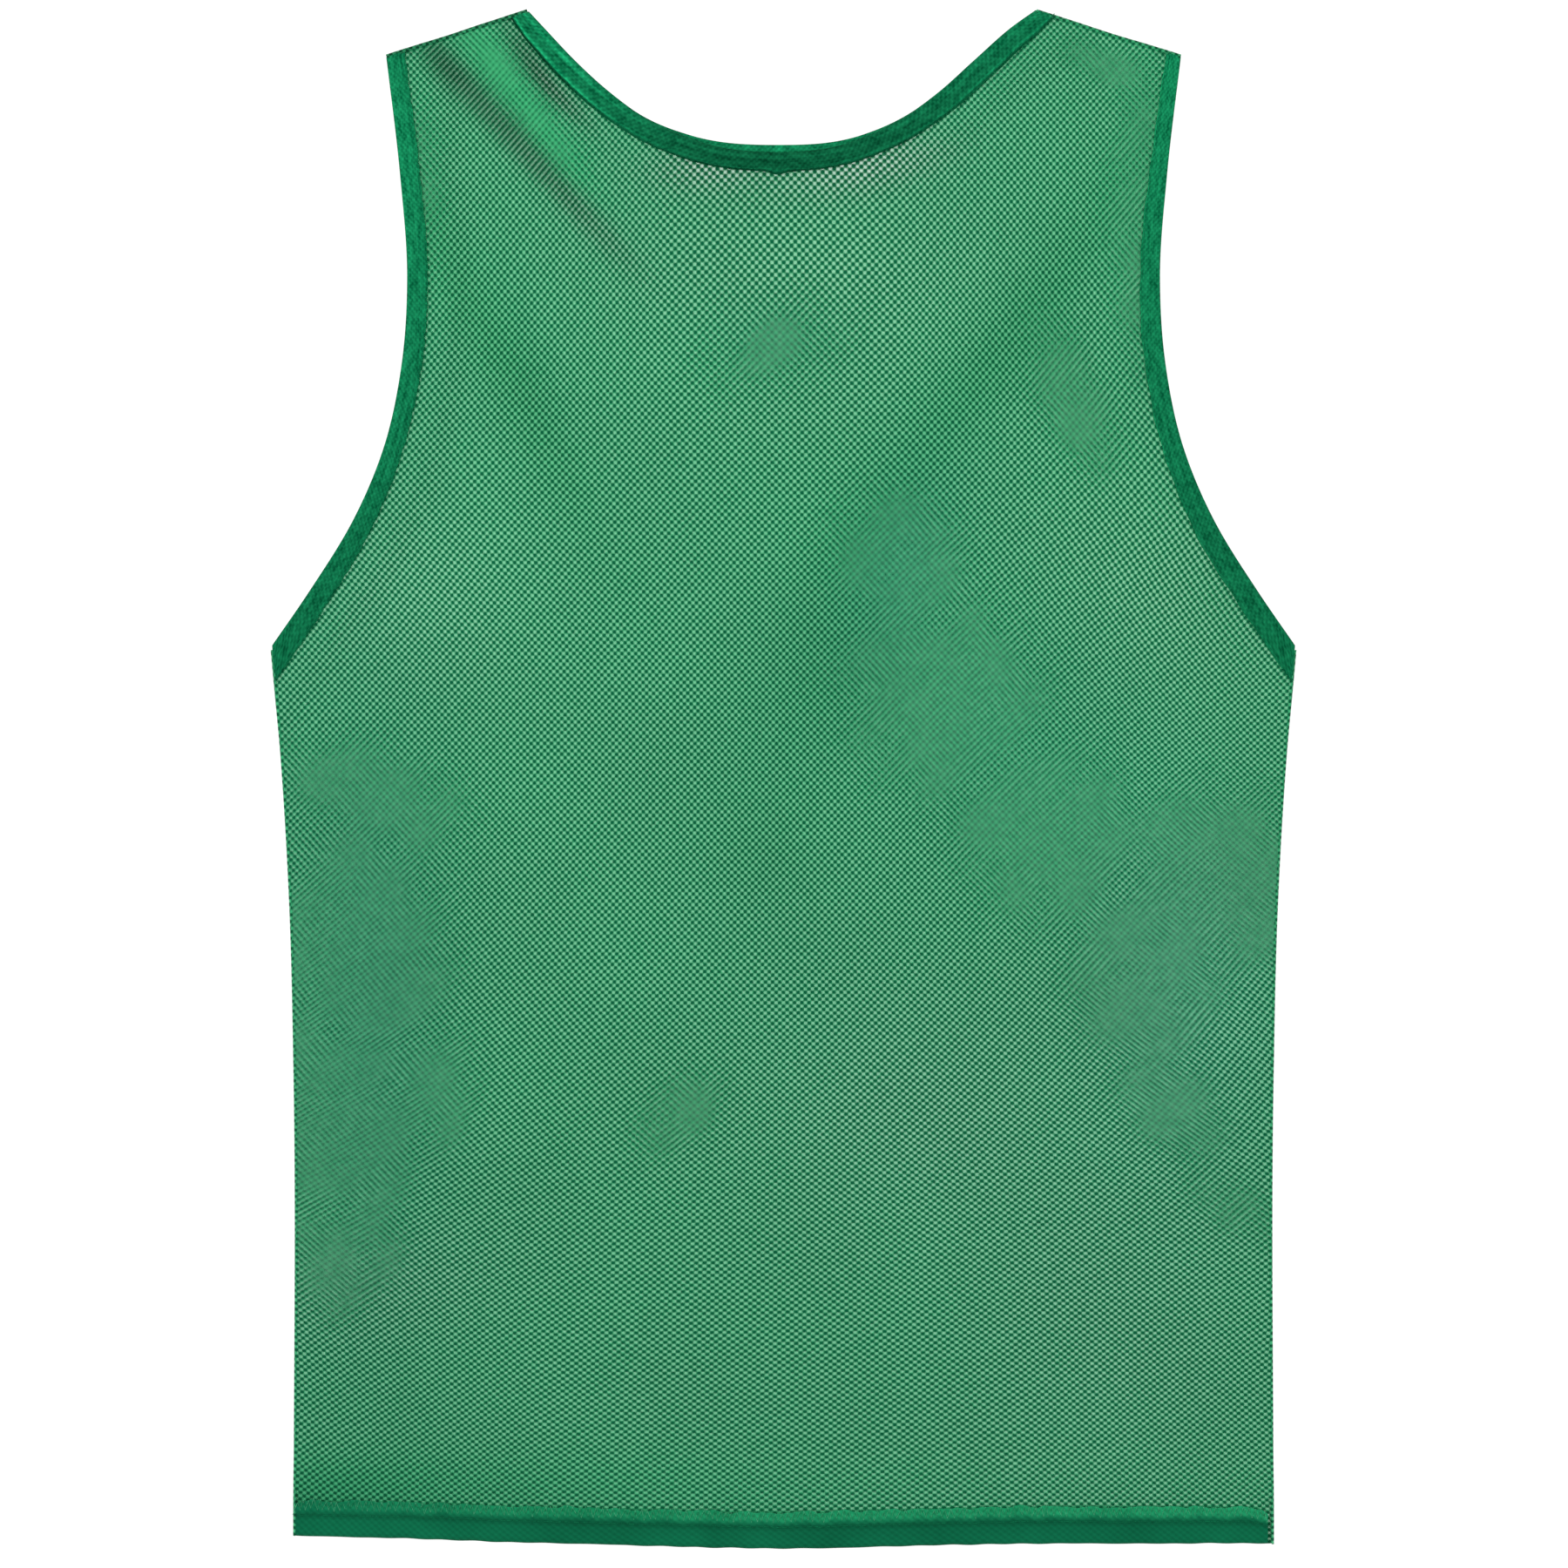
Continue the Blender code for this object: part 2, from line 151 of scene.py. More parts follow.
def run_and_left(line):
    """Directions along a line of points and to its left."""
    run = unit(np.gradient(line, axis=0))
    return run, np.stack([-run[:, 1], run[:, 0]], axis=1)


def moved_sideways(line, distance):
    return line + distance * run_and_left(line)[1]


def extended(line, length):
    before = line[0] + unit(line[0] - line[1]) * np.linspace(length, length / 20, 20)[:, None]
    after = line[-1] + unit(line[-1] - line[-2]) * np.linspace(length / 20, length, 20)[:, None]
    return np.concatenate([before, line, after])


def length_along(line):
    return np.concatenate([[0], np.cumsum(np.linalg.norm(np.diff(line, axis=0), axis=1))])


def evenly(line, spacing):
    """The line again, with points a spacing apart."""
    along = length_along(line)
    at = np.linspace(0, along[-1], int(along[-1] / spacing) + 2)
    return np.stack([np.interp(at, along, column) for column in line.T], axis=1)


def fading(distance, full, reach):
    """1 up to the distance full, 0 past reach, and a smooth slope between them."""
    t = np.clip((distance - full) / (reach - full), 0, 1)
    return 1 - t * t * (3 - 2 * t)


def distance_to(points, line):
    flat = points.reshape(-1, 2)
    nearest = [np.linalg.norm(part[:, None] - line, axis=-1).min(axis=1) for part in np.array_split(flat, 24)]
    return np.concatenate(nearest).reshape(points.shape[:-1])


class PanelCut:
    """The cut edges of one panel. They lie a layer inside the outline wherever a strip wraps them."""

    def __init__(self, neck_drop):
        rows = np.linspace(ARMHOLE[0][0], ARMHOLE[-1][0], 241) * MM
        rim = np.stack([smooth_curve(ARMHOLE)(rows), rows], axis=1)
        self.armhole = extended(moved_sideways(rim, PLY), 40 * MM)

        across = np.linspace(NECK[0][0], NECK[-1][0], 321) * MM
        middle = np.clip(np.abs(across - NECK_MIDDLE) / NECK_DROP_REACH, 0, 1)
        drop = neck_drop * np.cos(middle * np.pi / 2) ** 2
        rim = np.stack([across, smooth_curve(NECK)(across) - drop], axis=1)
        self.neck = extended(moved_sideways(rim, -PLY), 40 * MM)

        across = np.linspace(HEM[0][0], HEM[-1][0], 901) * MM
        wavy = HEM_WAVE * (1 + soft_waves(across[:, None] * (1, 0), 31, 12 * MM, 40 * MM))
        unbound = fading(HEM[-1][0] * MM - across, 3.0 * MM, 3.8 * MM)      # past the band's right end
        self.bound_hem = np.stack([across, smooth_curve(HEM)(across) + PLY + wavy], axis=1)
        self.hem = self.bound_hem - PLY * unbound[:, None] * (0, 1)

        self.shoulder_end = np.array(ARMHOLE[-1][::-1]) * MM
        self.left_tip, self.right_tip = rim[0], rim[-1]
        self.side_seam = smooth_curve(SIDE_SEAM)
        heights = np.linspace(45, 65, 2001) * MM
        self.underarm = heights[np.argmin(np.abs(self.arm_x(heights) - self.side_seam(heights)))]
        self.tip_x = [at[np.argmin(np.abs(self.neck_y(at) - self.shoulder_y(at)))]
                      for at in (np.linspace(-130, -105, 2001) * MM, np.linspace(105, 130, 2001) * MM)]

    def arm_x(self, y):
        return np.interp(y, self.armhole[:, 1], self.armhole[:, 0])

    def neck_y(self, x):
        return np.interp(x, self.neck[:, 0], self.neck[:, 1])

    def hem_y(self, x):
        return np.interp(x, self.hem[:, 0], self.hem[:, 1])

    def shoulder_y(self, x):
        """Height of the shoulder lines, from the tips of the neck to the armholes' ends."""
        tip = np.where(x < 0, self.left_tip[0], self.right_tip[0])
        tip_y = np.where(x < 0, self.left_tip[1], self.right_tip[1])
        end = np.where(x < 0, -1, 1) * self.shoulder_end[0]
        return tip_y + (self.shoulder_end[1] - tip_y) * (x - tip) / (end - tip)

    def grid(self, across, up):
        """Points of the panel. across is 0-3 over strap, neck and strap; up is 0-2 over body and chest."""
        x = np.interp(across, (0, 1, 2, 3), (-0.2, *self.tip_x, 0.2)) + 0 * up
        for _ in range(30):
            hem = self.hem_y(x)
            top = np.minimum(self.shoulder_y(x) - SEAM_ROOM, self.neck_y(x))
            y = hem + np.clip(up, 0, 1) * (self.underarm - hem)
            y = y + np.clip(up - 1, 0, 1) * (top - self.underarm)
            side = np.minimum(self.side_seam(y) - SEAM_ROOM, self.arm_x(y))
            left, right = self.tip_x
            x = (-side + np.clip(across, 0, 1) * (left + side) + np.clip(across - 1, 0, 1) * (right - left)
                 + np.clip(across - 2, 0, 1) * (side - right))
        return np.stack([x, y], axis=-1)

    def clearance(self, points):
        """Distance to the nearest strip's inner edge, less than nothing under the strip."""
        mirrored = points * (-1, 1)
        return np.minimum.reduce([
            distance_to(points, self.armhole) - ARM_BINDING,
            distance_to(mirrored, self.armhole) - ARM_BINDING,
            distance_to(points, self.neck) - NECK_BINDING,
            distance_to(points, self.hem) - HEM_BAND])


def along_crease(points, x0, y0, x1, y1):
    """A crease's length, and how far points are along it and beside it."""
    start, end = np.array([x0, y0]) * MM, np.array([x1, y1]) * MM
    along = (points - start) @ unit(end - start)
    beside = (points - start) @ unit((end - start)[::-1] * (-1, 1))
    return np.linalg.norm(end - start), along, beside


def crease_height(points, crease):
    """A soft ridge, or a trough where its height is below nothing, that fades at both ends."""
    length, along, beside = along_crease(points, *crease[:4])
    fade = min(FOLD_END, length / 2)
    ends = (1 - fading(along, -fade / 2, fade)) * fading(along, length - fade, length + fade / 2)
    return crease[5] * MM * np.exp(-(beside / (crease[4] * MM)) ** 2) * ends


def fold_height(points):
    height = np.zeros(points.shape[:-1])
    for x0, y0, x1, y1, half_width, rise, share in FOLDS:
        length, along, beside = along_crease(points, x0, y0, x1, y1)
        opening = (share + (1 - share) * (1 - fading(along, 0, FOLD_END))) * (1 - fading(along, -FOLD_END, 0))
        closing = fading(along, length - FOLD_END, length)
        height += rise * MM * np.exp(-(beside / (half_width * MM)) ** 2) * opening * closing
    return height


def net_cells(points):
    """Cells of the net counted along its two diagonals. A whole number on both is the middle of a hole."""
    x, y = points[..., 0] / MM, points[..., 1] / MM
    heights = np.linspace(-360, 360, 721)
    table = np.array(NET_CELLS)
    half_width = smooth_curve(table[:, [0, 1]])(heights * MM) / MM
    half_height = smooth_curve(table[:, [0, 2]])(heights * MM) / MM
    rows_to = np.concatenate([[0], np.cumsum(1 / half_height)[:-1]])
    bowed = y - sum(rise * np.exp(-((x - bx) / rx) ** 2 - ((y - by) / ry) ** 2)
                    for bx, by, rx, ry, rise in ROW_BOWS)
    columns = x / np.interp(y, heights, half_width)
    for start, more, low, high in GATHERS:
        setting_in = 1 - fading((y - low) / (high - low), 0, 1)
        columns += np.sign(x) * more * setting_in * (np.hypot(np.maximum(np.abs(x) - start, 0), 12) - 12)
    rows = np.interp(bowed, heights, rows_to)
    return np.stack([rows + columns, rows - columns], axis=-1) / 2


def turned_offsets(points, x, y, angle):
    """Millimetres along and across from a place whose long way is turned by an angle."""
    turn = np.radians(angle)
    dx, dy = points[..., 0] / MM - x, points[..., 1] / MM - y
    return dx * np.cos(turn) + dy * np.sin(turn), dy * np.cos(turn) - dx * np.sin(turn)


def back_slip(points):
    """How far, in cells each way, the back net has slipped under the front."""
    slip = np.zeros(points.shape)
    for x, y, along, across, angle, *amounts in SLIPS:
        run, side = turned_offsets(points, x, y, angle)
        bump = np.exp(-((run / along) ** 2 + (side / across) ** 2) ** 1.5)
        slip = np.maximum(slip, bump[..., None] * amounts)
    bend = 1.5 * soft_waves(points, 51, 60 * MM, 150 * MM)
    drift = np.sin(2 * np.pi * points @ np.array([(1 / 36, 1 / 70), (-1 / 36, 1 / 64)]) / MM
                   + np.stack([bend, 2 * bend], axis=-1))
    return slip * (1 + SLIP_UNEVENNESS * drift)


def weave_depth(slip):
    """How plainly the net's two diagonals show: less where the layers are half a cell out of step."""
    depth = 0.25 * (1 - 0.78 * np.sin(np.pi * slip) ** 2)
    return np.concatenate([depth, 0 * depth[..., :1]], axis=-1)


def soft_waves(points, seed, shortest, longest):
    """An uneven field of about -1 to 1 with waves between two lengths."""
    rng = np.random.default_rng(seed)
    total = 0
    lengths = rng.uniform(shortest, longest, 9)
    for length, heading, start in zip(lengths, rng.uniform(0, 6.3, 9), rng.uniform(0, 6.3, 9)):
        total = total + np.sin(2 * np.pi * (points @ (np.cos(heading), np.sin(heading))) / length + start)
    return total / 4


def knitting_drift(points, seed):
    """Uneven knitting shifts the net by a few hundredths of a cell each way."""
    return 0.05 * np.stack([soft_waves(points, seed + i, 18 * MM, 50 * MM) for i in (0, 40)], axis=-1)


def soft_patches(points, which):
    total = 0
    for x, y, along, across, angle, *amounts in PATCHES:
        run, side = turned_offsets(points, x, y, angle)
        total = total + amounts[which] * np.exp(-(run / along) ** 2 - (side / across) ** 2)
    return total


def sheerness(points):
    """What one layer lets through at the middle of a hole."""
    return 0.37 + soft_patches(points, 1)


def net_tint_and_painted_shade(points, fine):
    """The net's tint in red, green and blue: uneven, a little lighter at the chest, with painted highlight
    and shade.
    """
    shade = 0.98 + 0.08 * points[..., 1] / (300 * MM) + 0.025 * soft_waves(points, 77, 60 * MM, 170 * MM)
    # The patches and fine, the creases' height, add painted highlight and shade: lighter on ridges and crease
    # tops, darker in valleys and troughs
    shade = np.clip(shade + soft_patches(points, 0) + fine / (16 * MM), 0.4, 1.4)
    bluer = soft_patches(points, 2)
    return np.stack([shade * (1 + bluer), shade, shade * (1 + bluer)], axis=-1)


def add_object(name, data):
    piece = bpy.data.objects.new(name, data)
    bpy.context.scene.collection.objects.link(piece)
    return piece


def add_wall(name, outer, inner, maps, material, values=None):
    """A closed wall of cloth between two grids of points, with UV maps and values that both faces share."""
    rows, columns = outer.shape[:2]
    index = np.arange(rows * columns).reshape(rows, columns)
    quads = np.stack([index[:-1, :-1], index[:-1, 1:], index[1:, 1:], index[1:, :-1]], axis=-1).reshape(-1, 4)
    rim = np.concatenate([index[0], index[1:, -1], index[-1, -2::-1], index[-2:0:-1, 0]])
    after = np.roll(rim, -1)
    edges = np.stack([rim, rim + index.size, after + index.size, after], axis=-1)
    faces = np.concatenate([quads, quads[:, ::-1] + index.size, edges])
    mesh = bpy.data.meshes.new(name)
    mesh.from_pydata(np.concatenate([outer, inner]).reshape(-1, 3).tolist(), [], faces.tolist())
    shell = bmesh.new()
    shell.from_mesh(mesh)
    bmesh.ops.recalc_face_normals(shell, faces=shell.faces)
    shell.to_mesh(mesh)
    shell.free()
    corners = np.zeros(len(mesh.loops), dtype=int)
    mesh.loops.foreach_get("vertex_index", corners)
    for title, uv in maps.items():
        both = np.tile(uv.reshape(-1, 2), (2, 1))
        mesh.uv_layers.new(name=title).uv.foreach_set("vector", both[corners].ravel())
    for title, value in (values or {}).items():
        kind, field = ("FLOAT_VECTOR", "vector") if value.ndim > 2 else ("FLOAT", "value")
        mesh.attributes.new(title, kind, "POINT").data.foreach_set(field, np.tile(value.ravel(), 2))
    mesh.materials.append(material)
    mesh.shade_smooth()
    mesh.set_sharp_from_angle(angle=np.radians(50))
    return add_object(name, mesh)


def linear(colour):
    srgb = [int(colour[i:i + 2], 16) / 255 for i in (1, 3, 5)]
    return (*[c / 12.92 if c <= 0.04045 else ((c + 0.055) / 1.055) ** 2.4 for c in srgb], 1.0)


def set_sockets(node, sockets):
    for name, value in sockets.items():
        if isinstance(value, bpy.types.NodeSocket):
            node.id_data.links.new(value, node.inputs[name])
        else:
            node.inputs[name].default_value = value


def add(tree, kind, settings={}, sockets={}):
    """Adds a node with its settings, and its sockets' values or links."""
    node = tree.nodes.new(kind)
    for name, value in settings.items():
        setattr(node, name, value)
    set_sockets(node, sockets)
    return node


def new_finish(name):
    """A new material, its node tree and its surface."""
    material = bpy.data.materials.new(name)
    material.use_nodes = True
    return material, material.node_tree, material.node_tree.nodes["Principled BSDF"]


# Warp-knitted polyester net: dark where the yarns knot, a colour that also holds painted shade where the
# yarns cross over each other, and lighter and see-through where the holes are. Two layers of it give a fine
# check of light holes and dark knots, which fades where they have slipped.
net, tree, cloth = new_finish("warp-knitted polyester net")
cells = add(tree, "ShaderNodeUVMap", {"uv_map": "net cells"}).outputs[0]
turns = add(tree, "ShaderNodeVectorMath", {"operation": "SCALE"}, {0: cells, "Scale": 2 * np.pi}).outputs[0]
waves = add(tree, "ShaderNodeVectorMath", {"operation": "COSINE"}, {0: turns}).outputs[0]
weave = add(tree, "ShaderNodeAttribute", {"attribute_name": "weave"}).outputs["Vector"]
waves = add(tree, "ShaderNodeVectorMath", {"operation": "DOT_PRODUCT"}, {0: waves, 1: weave}).outputs["Value"]
# Each hole is a little wider or narrower than the next
each = add(tree, "ShaderNodeVectorMath", {"operation": "ADD"}, {0: cells, 1: (0.5, 0.5, 0)}).outputs[0]
each = add(tree, "ShaderNodeVectorMath", {"operation": "FLOOR"}, {0: each}).outputs[0]
each = add(tree, "ShaderNodeTexWhiteNoise", {"noise_dimensions": "2D"}, {"Vector": each}).outputs["Value"]
each = add(tree, "ShaderNodeMapRange", {}, {"Value": each, "To Min": 0.475, "To Max": 0.525}).outputs[0]
open_ = add(tree, "ShaderNodeMath", {"operation": "ADD"}, {0: waves, 1: each}).outputs[0]
open_ = add(tree, "ShaderNodeMapRange", {"interpolation_type": "SMOOTHSTEP"},
            {"Value": open_, "From Min": 0.19, "From Max": 0.88}).outputs[0]
# What one layer lets through at the middle of a hole, which its two faces share
sheer = add(tree, "ShaderNodeAttribute", {"attribute_name": "sheer"}).outputs["Fac"]
clear = add(tree, "ShaderNodeMath", {"operation": "MULTIPLY"}, {0: open_, 1: sheer}).outputs[0]
clear = add(tree, "ShaderNodeMath", {"operation": "POWER"}, {0: clear, 1: 0.5}).outputs[0]
alpha = add(tree, "ShaderNodeMath", {"operation": "SUBTRACT"}, {0: 1.0, 1: clear}).outputs[0]
# The knots' dark colour is partly painted shade where the yarns cross
colour = add(tree, "ShaderNodeMix", {"data_type": "RGBA"},
             {0: open_, 6: linear("#045737"), 7: linear("#4ACF8D")}).outputs[2]
# The tint holds uneven tone and painted highlight and shade on the net's folds and creases
tint = add(tree, "ShaderNodeAttribute", {"attribute_name": "tint"}).outputs["Vector"]
colour = add(tree, "ShaderNodeVectorMath", {"operation": "MULTIPLY"}, {0: colour, 1: tint}).outputs[0]
bump = add(tree, "ShaderNodeBump", {"invert": True},
           {"Height": open_, "Strength": 0.4, "Distance": 0.0002}).outputs[0]
set_sockets(cloth, {"Base Color": colour, "Alpha": alpha, "Normal": bump,
                    "Roughness": 0.75, "Specular IOR Level": 0.03, "Sheen Weight": 0.04})

near_side = np.array([0, 0.01, 0.02, 0.027, 0.035])
across = np.concatenate([near_side, np.linspace(0, 1, 25)[1:-1], np.linspace(1, 2, 49)[:-1],
                         np.linspace(2, 3, 25)[:-1], 3 - near_side[::-1]])[None, :]
up = np.concatenate([np.linspace(0, 1, 81)[:-1], np.linspace(1, 2, 79)])[:, None]


def add_net_panel(name, cut, underside, creases, slip, seed):
    """A net panel on the form of its solid, with its finer creases, painted lighter on top and darker in
    troughs.
    """
    points = cut.grid(across, up)
    clear = cut.clearance(points)
    middle = underside(cut, points, clear) + WALL_MIDDLE
    fine = sum(crease_height(points, crease) for crease in creases) * (1 - fading(clear, 0, 12 * MM))
    face = np.concatenate([points, (middle + fine + NET_THICKNESS / 2)[..., None]], axis=-1)
    cells = net_cells(points) + knitting_drift(points, seed) + slip(points)
    weave = weave_depth(back_slip(points))
    flat = 1 - weave.sum(axis=-1) / 0.5
    values = {"weave": weave, "sheer": sheerness(points) + 0.06 * flat, "tint": net_tint_and_painted_shade(points, fine)}
    return add_wall(name, face, face - (0, 0, NET_THICKNESS), {"net cells": cells}, net, values)


def back_underside(cut, points, clear):
    near_shoulder = fading(cut.shoulder_y(points[..., 0]) - points[..., 1], 0, SHOULDER_SETTLE)
    folds = fold_height(points) * (1 - fading(clear, CLEAR_OF_STRIP, BACK_SETTLE)) * near_shoulder
    return BACK_FREE + (BACK_BOUND - BACK_FREE) * fading(clear, CLEAR_OF_STRIP, BACK_SETTLE) + folds


back_cut = PanelCut(0.0)
back_net = add_net_panel("back_net", back_cut, back_underside, BACK_CREASES, back_slip, 3)
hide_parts("back_panel")
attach(back_net, "root")


# Front net panel
# The same net, cut with a slightly lower neck and laid over the back. It carries the bib's one sharp fold, on
# the left strap, and soft creases that run down from the straps and the armholes.
NECK_DROP = 3.6 * MM
FRONT_CREASES = [
    (-164, 334, -80, 232, 7, -0.25), (-112, 330, -76, 282, 4.5, -0.22), (-172, 280, -96, 130, 11, -0.3),
    (-128, 245, -98, 120, 9, -0.2), (-150, 180, -120, 60, 15, 0.5), (157, 273, 60, 140, 13, -0.3),
    (62, 150, -6, -40, 26, -0.3), (176, 250, 120, 120, 15, 0.5), (110, 270, 40, 170, 18, 0.5),
    (-60, 240, -10, 120, 20, 0.4), (-180, 30, -196, -180, 20, 0.5), (-120, 40, -60, -120, 22, 0.5),
    (180, 30, 196, -190, 22, 0.5), (90, 60, 110, -60, 20, 0.4), (50, -150, 66, -320, 22, 0.6),
    (-70, -180, -90, -320, 20, 0.5), (130, -170, 118, -320, 20, -0.2), (-150, -190, -176, -320, 18, -0.2),
]


def front_underside(cut, points, clear):
    from_side = cut.side_seam(points[..., 1]) - np.abs(points[..., 0])
    folds = fold_height(points) * (1 - fading(clear, CLEAR_OF_STRIP, BACK_SETTLE))
    folds = folds * (1 - fading(from_side, 0, SIDE_SETTLE))
    return FRONT_FREE + (FRONT_BOUND - FRONT_FREE) * fading(clear, CLEAR_OF_STRIP, FRONT_SETTLE) + folds


front_cut = PanelCut(NECK_DROP)
front_net = add_net_panel("front_net", front_cut, front_underside, FRONT_CREASES, lambda points: 0.0, 4)
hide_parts("front_panel")
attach(front_net, "root")


# Armhole and neck bindings
# Strips of polyester knit folded round each cut edge and sewn through near their inner edge. The front and
# back stretches are separate, as the shoulder and side seams close them. The neck's joins in the middle.
STRIP_THICKNESS, STRIP_STEP, SLANT_REACH = 0.65 * MM, 1.6 * MM, 26 * MM
HALF_FOLD, FOLD_OUT, FOLD_IN = 1.70 * MM, 1.25 * MM, 0.65 * MM      # the fold's half height and two faces
FOLD_LAY = 2 * MM               # knit from the middle of the fold to where the strip lies flat
HEIGHT_WOBBLE, EDGE_WOBBLE = 0.06 * MM, 0.11 * MM
LOCKSTITCH_INSET, LOCKSTITCH_LIFT = 0.85 * MM, 0.02 * MM
BINDING_RELIEF = [(-1, 0), (0, 0), (1.2, 0.3), (4.6, 0.4), (7.0, 0.3), (7.9, -0.1), (8.6, 0.0), (9.7, -0.8)]
NECK_RELIEF = [(-1, 0), (0, 0), (1.2, 0.3), (3.8, 0.4), (5.5, 0.3), (6.1, -0.1), (6.9, 0.1), (8.1, -0.8)]
NECK_JOIN = (-2.6 * MM, 3.4 * MM, 1.4 * MM)     # place, reach and how much lower the strip reaches there
# Share of the full width, and shade, at shares of the way along each binding: up from the underarm or
# left to right
ARM_WIDTHS = {"left": [(0, 1), (0.2, 0.86), (0.38, 0.77), (0.56, 0.85), (0.73, 0.84), (0.9, 0.8), (1, 0.77)],
              "right": [(0, 1), (0.2, 0.97), (0.38, 0.83), (0.56, 0.85), (0.73, 0.79), (0.9, 0.64), (1, 0.6)]}
ARM_SHADES = {"left": [(0, 0.80), (0.2, 0.82), (0.38, 0.94), (0.56, 1), (0.73, 1.09), (0.9, 1.2), (1, 1.0)],
              "right": [(0, 0.84), (0.2, 0.80), (0.38, 0.92), (0.56, 1), (0.73, 1.05), (0.9, 1.2), (1, 1.24)]}
NECK_WIDTHS = [(0, 0.84), (0.04, 1.1), (0.1, 1.17), (0.2, 1.17), (0.33, 1.05), (0.45, 0.95),
               (0.55, 0.95), (0.67, 1.05), (0.8, 1.2), (0.9, 1.18), (0.955, 1.1), (1, 0.76)]
NECK_SHADES = [(0, 1.12), (0.11, 1.12), (0.18, 0.95), (0.27, 0.78), (0.36, 0.60), (0.46, 0.53), (0.55, 0.55),
               (0.64, 0.62), (0.73, 0.69), (0.82, 0.79), (0.9, 0.86), (1, 0.9)]
# Shade at millimetres from the fold. The neck's dark line where the strip meets the net is painted shadow,
# and the arms' inner edges are painted lighter to offset the shade where they roll down
ARM_STREAKS_AND_PAINTED_LIGHT = [(-1, 0.05), (0.5, 0.08), (1.7, 0), (2.9, 0.06), (4.1, -0.02), (5.3, 0.07), (6.5, 0),
               (7.6, -0.04), (8.4, 0.12), (9.2, 0.3), (9.6, 0.36)]
ARM_STREAKINESS = [(0, 0.2), (0.25, 0.4), (0.4, 1), (1, 1)]
NECK_STREAKS_AND_PAINTED_SHADOW = [(-1, -0.05), (0.3, 0.05), (0.8, 0.3), (1.5, 0.6), (2.2, 0), (2.7, -0.2), (3.6, 0.02),
                  (4.7, -0.22), (5.2, 0), (5.8, 0.1), (6.3, 0.6), (6.8, 0.75), (7.1, -0.5), (8, -0.7)]
EVEN, BACK_SHADES = [(0, 1), (1, 1)], [(0, 1), (0.3, 1), (0.42, 1.15), (0.58, 1.15), (0.7, 1), (1, 1)]
NECK_STREAKINESS = [(0, 1.2), (0.13, 1.2), (0.2, 0.6), (0.35, 0.35), (0.6, 0.35), (0.8, 0.45), (1, 0.45)]


def between(x, rows):
    """Value at x between rows of two columns."""
    return np.interp(x, *np.transpose(rows))


def strip_faces(edge, side, seams, width, widths, level, relief, crown, seed, join=None, scallop=0.0):
    """Outer and inner face of a strip folded round an edge, and its lay: metres along and from the fold."""
    edge = evenly(edge, STRIP_STEP)
    run, left = run_and_left(edge)
    inward = side * left
    along = length_along(edge)
    slant = 0
    for distance, end, seam in zip((along, along[-1] - along), (0, -1), seams):
        seam = unit(np.array(seam, dtype=float))
        slant = slant + (seam @ run[end]) / (seam @ inward[end]) * fading(distance, 0, SLANT_REACH)
    rng = np.random.default_rng(seed)
    wobble = [sum(rng.normal() * np.sin(along / length + rng.uniform(0, 6.3)) for length in lengths)
              for lengths in ((0.0011, 0.0017, 0.0029, 0.006), (0.0009, 0.0014, 0.003, 0.008))]
    lip = np.linspace(0, 1, 19) ** 0.9
    turns = np.radians(np.linspace(-75, 75, 7))
    depths = np.concatenate([width * lip[::-3], -FOLD_OUT * np.cos(turns), width * lip])
    inside = np.concatenate([width * lip[::-3], -FOLD_IN * np.cos(turns), width * lip])
    rounded = np.concatenate([np.full(7, -1.0), np.sin(turns), np.full(19, 1.0)])
    upper = rounded > 0.999
    swell = smooth_curve(relief)(depths) * crown * upper
    lay = np.concatenate([-width * lip[::-3] - FOLD_LAY, FOLD_LAY * turns / turns[-1],
                          width * lip + FOLD_LAY])
    faces = []
    narrower = between(along / along[-1], widths)[:, None]
    scallops = scallop * soft_waves(along[:, None] * (1, 0), seed, 7 * MM, 26 * MM)
    for depth, high in ((depths, HALF_FOLD), (inside, HALF_FOLD - STRIP_THICKNESS)):
        height = level + WALL_MIDDLE + rounded * high + swell
        height = height + upper * (HEIGHT_WOBBLE * crown * wobble[0][:, None])
        share = np.clip(depth / width, 0, 1)
        uneven = (EDGE_WOBBLE * wobble[1] + scallops)[:, None] * share ** 3
        reach = depth * np.where(depth > 0, narrower, 1) + uneven
        if join:
            reach = reach + join[2] * np.exp(-((edge[:, :1] - join[0]) / join[1]) ** 2) * share
        leaning = inward + run * np.reshape(slant, (-1, 1))
        flat = edge[:, None] + leaning[:, None] * reach[..., None]
        faces.append(np.concatenate([flat, height[..., None] + 0 * flat[..., :1]], axis=-1))
    return faces[0], faces[1], np.stack([along[:, None] + 0 * lay, lay + 0 * along[:, None]], axis=-1)


def strip_shade(lay, shades, streaks, streakiness=EVEN):
    """Shade of a strip along and across it, from the fold inwards on its upper side."""
    along = lay[..., 0] / lay[-1, 0, 0]
    streak = between(along, streakiness) * between(lay[..., 1] / MM - FOLD_LAY / MM, streaks)
    return between(along, shades) * (1 + streak)


def line_on_strip(outer, lay, depth, lift):
    """A line of points along a strip's upper side at a depth from its fold."""
    return np.stack([[np.interp(depth + FOLD_LAY, row_lay, row[:, i]) for i in range(3)]
                     for row, row_lay in zip(outer, lay[..., 1])]) + (0, 0, lift)


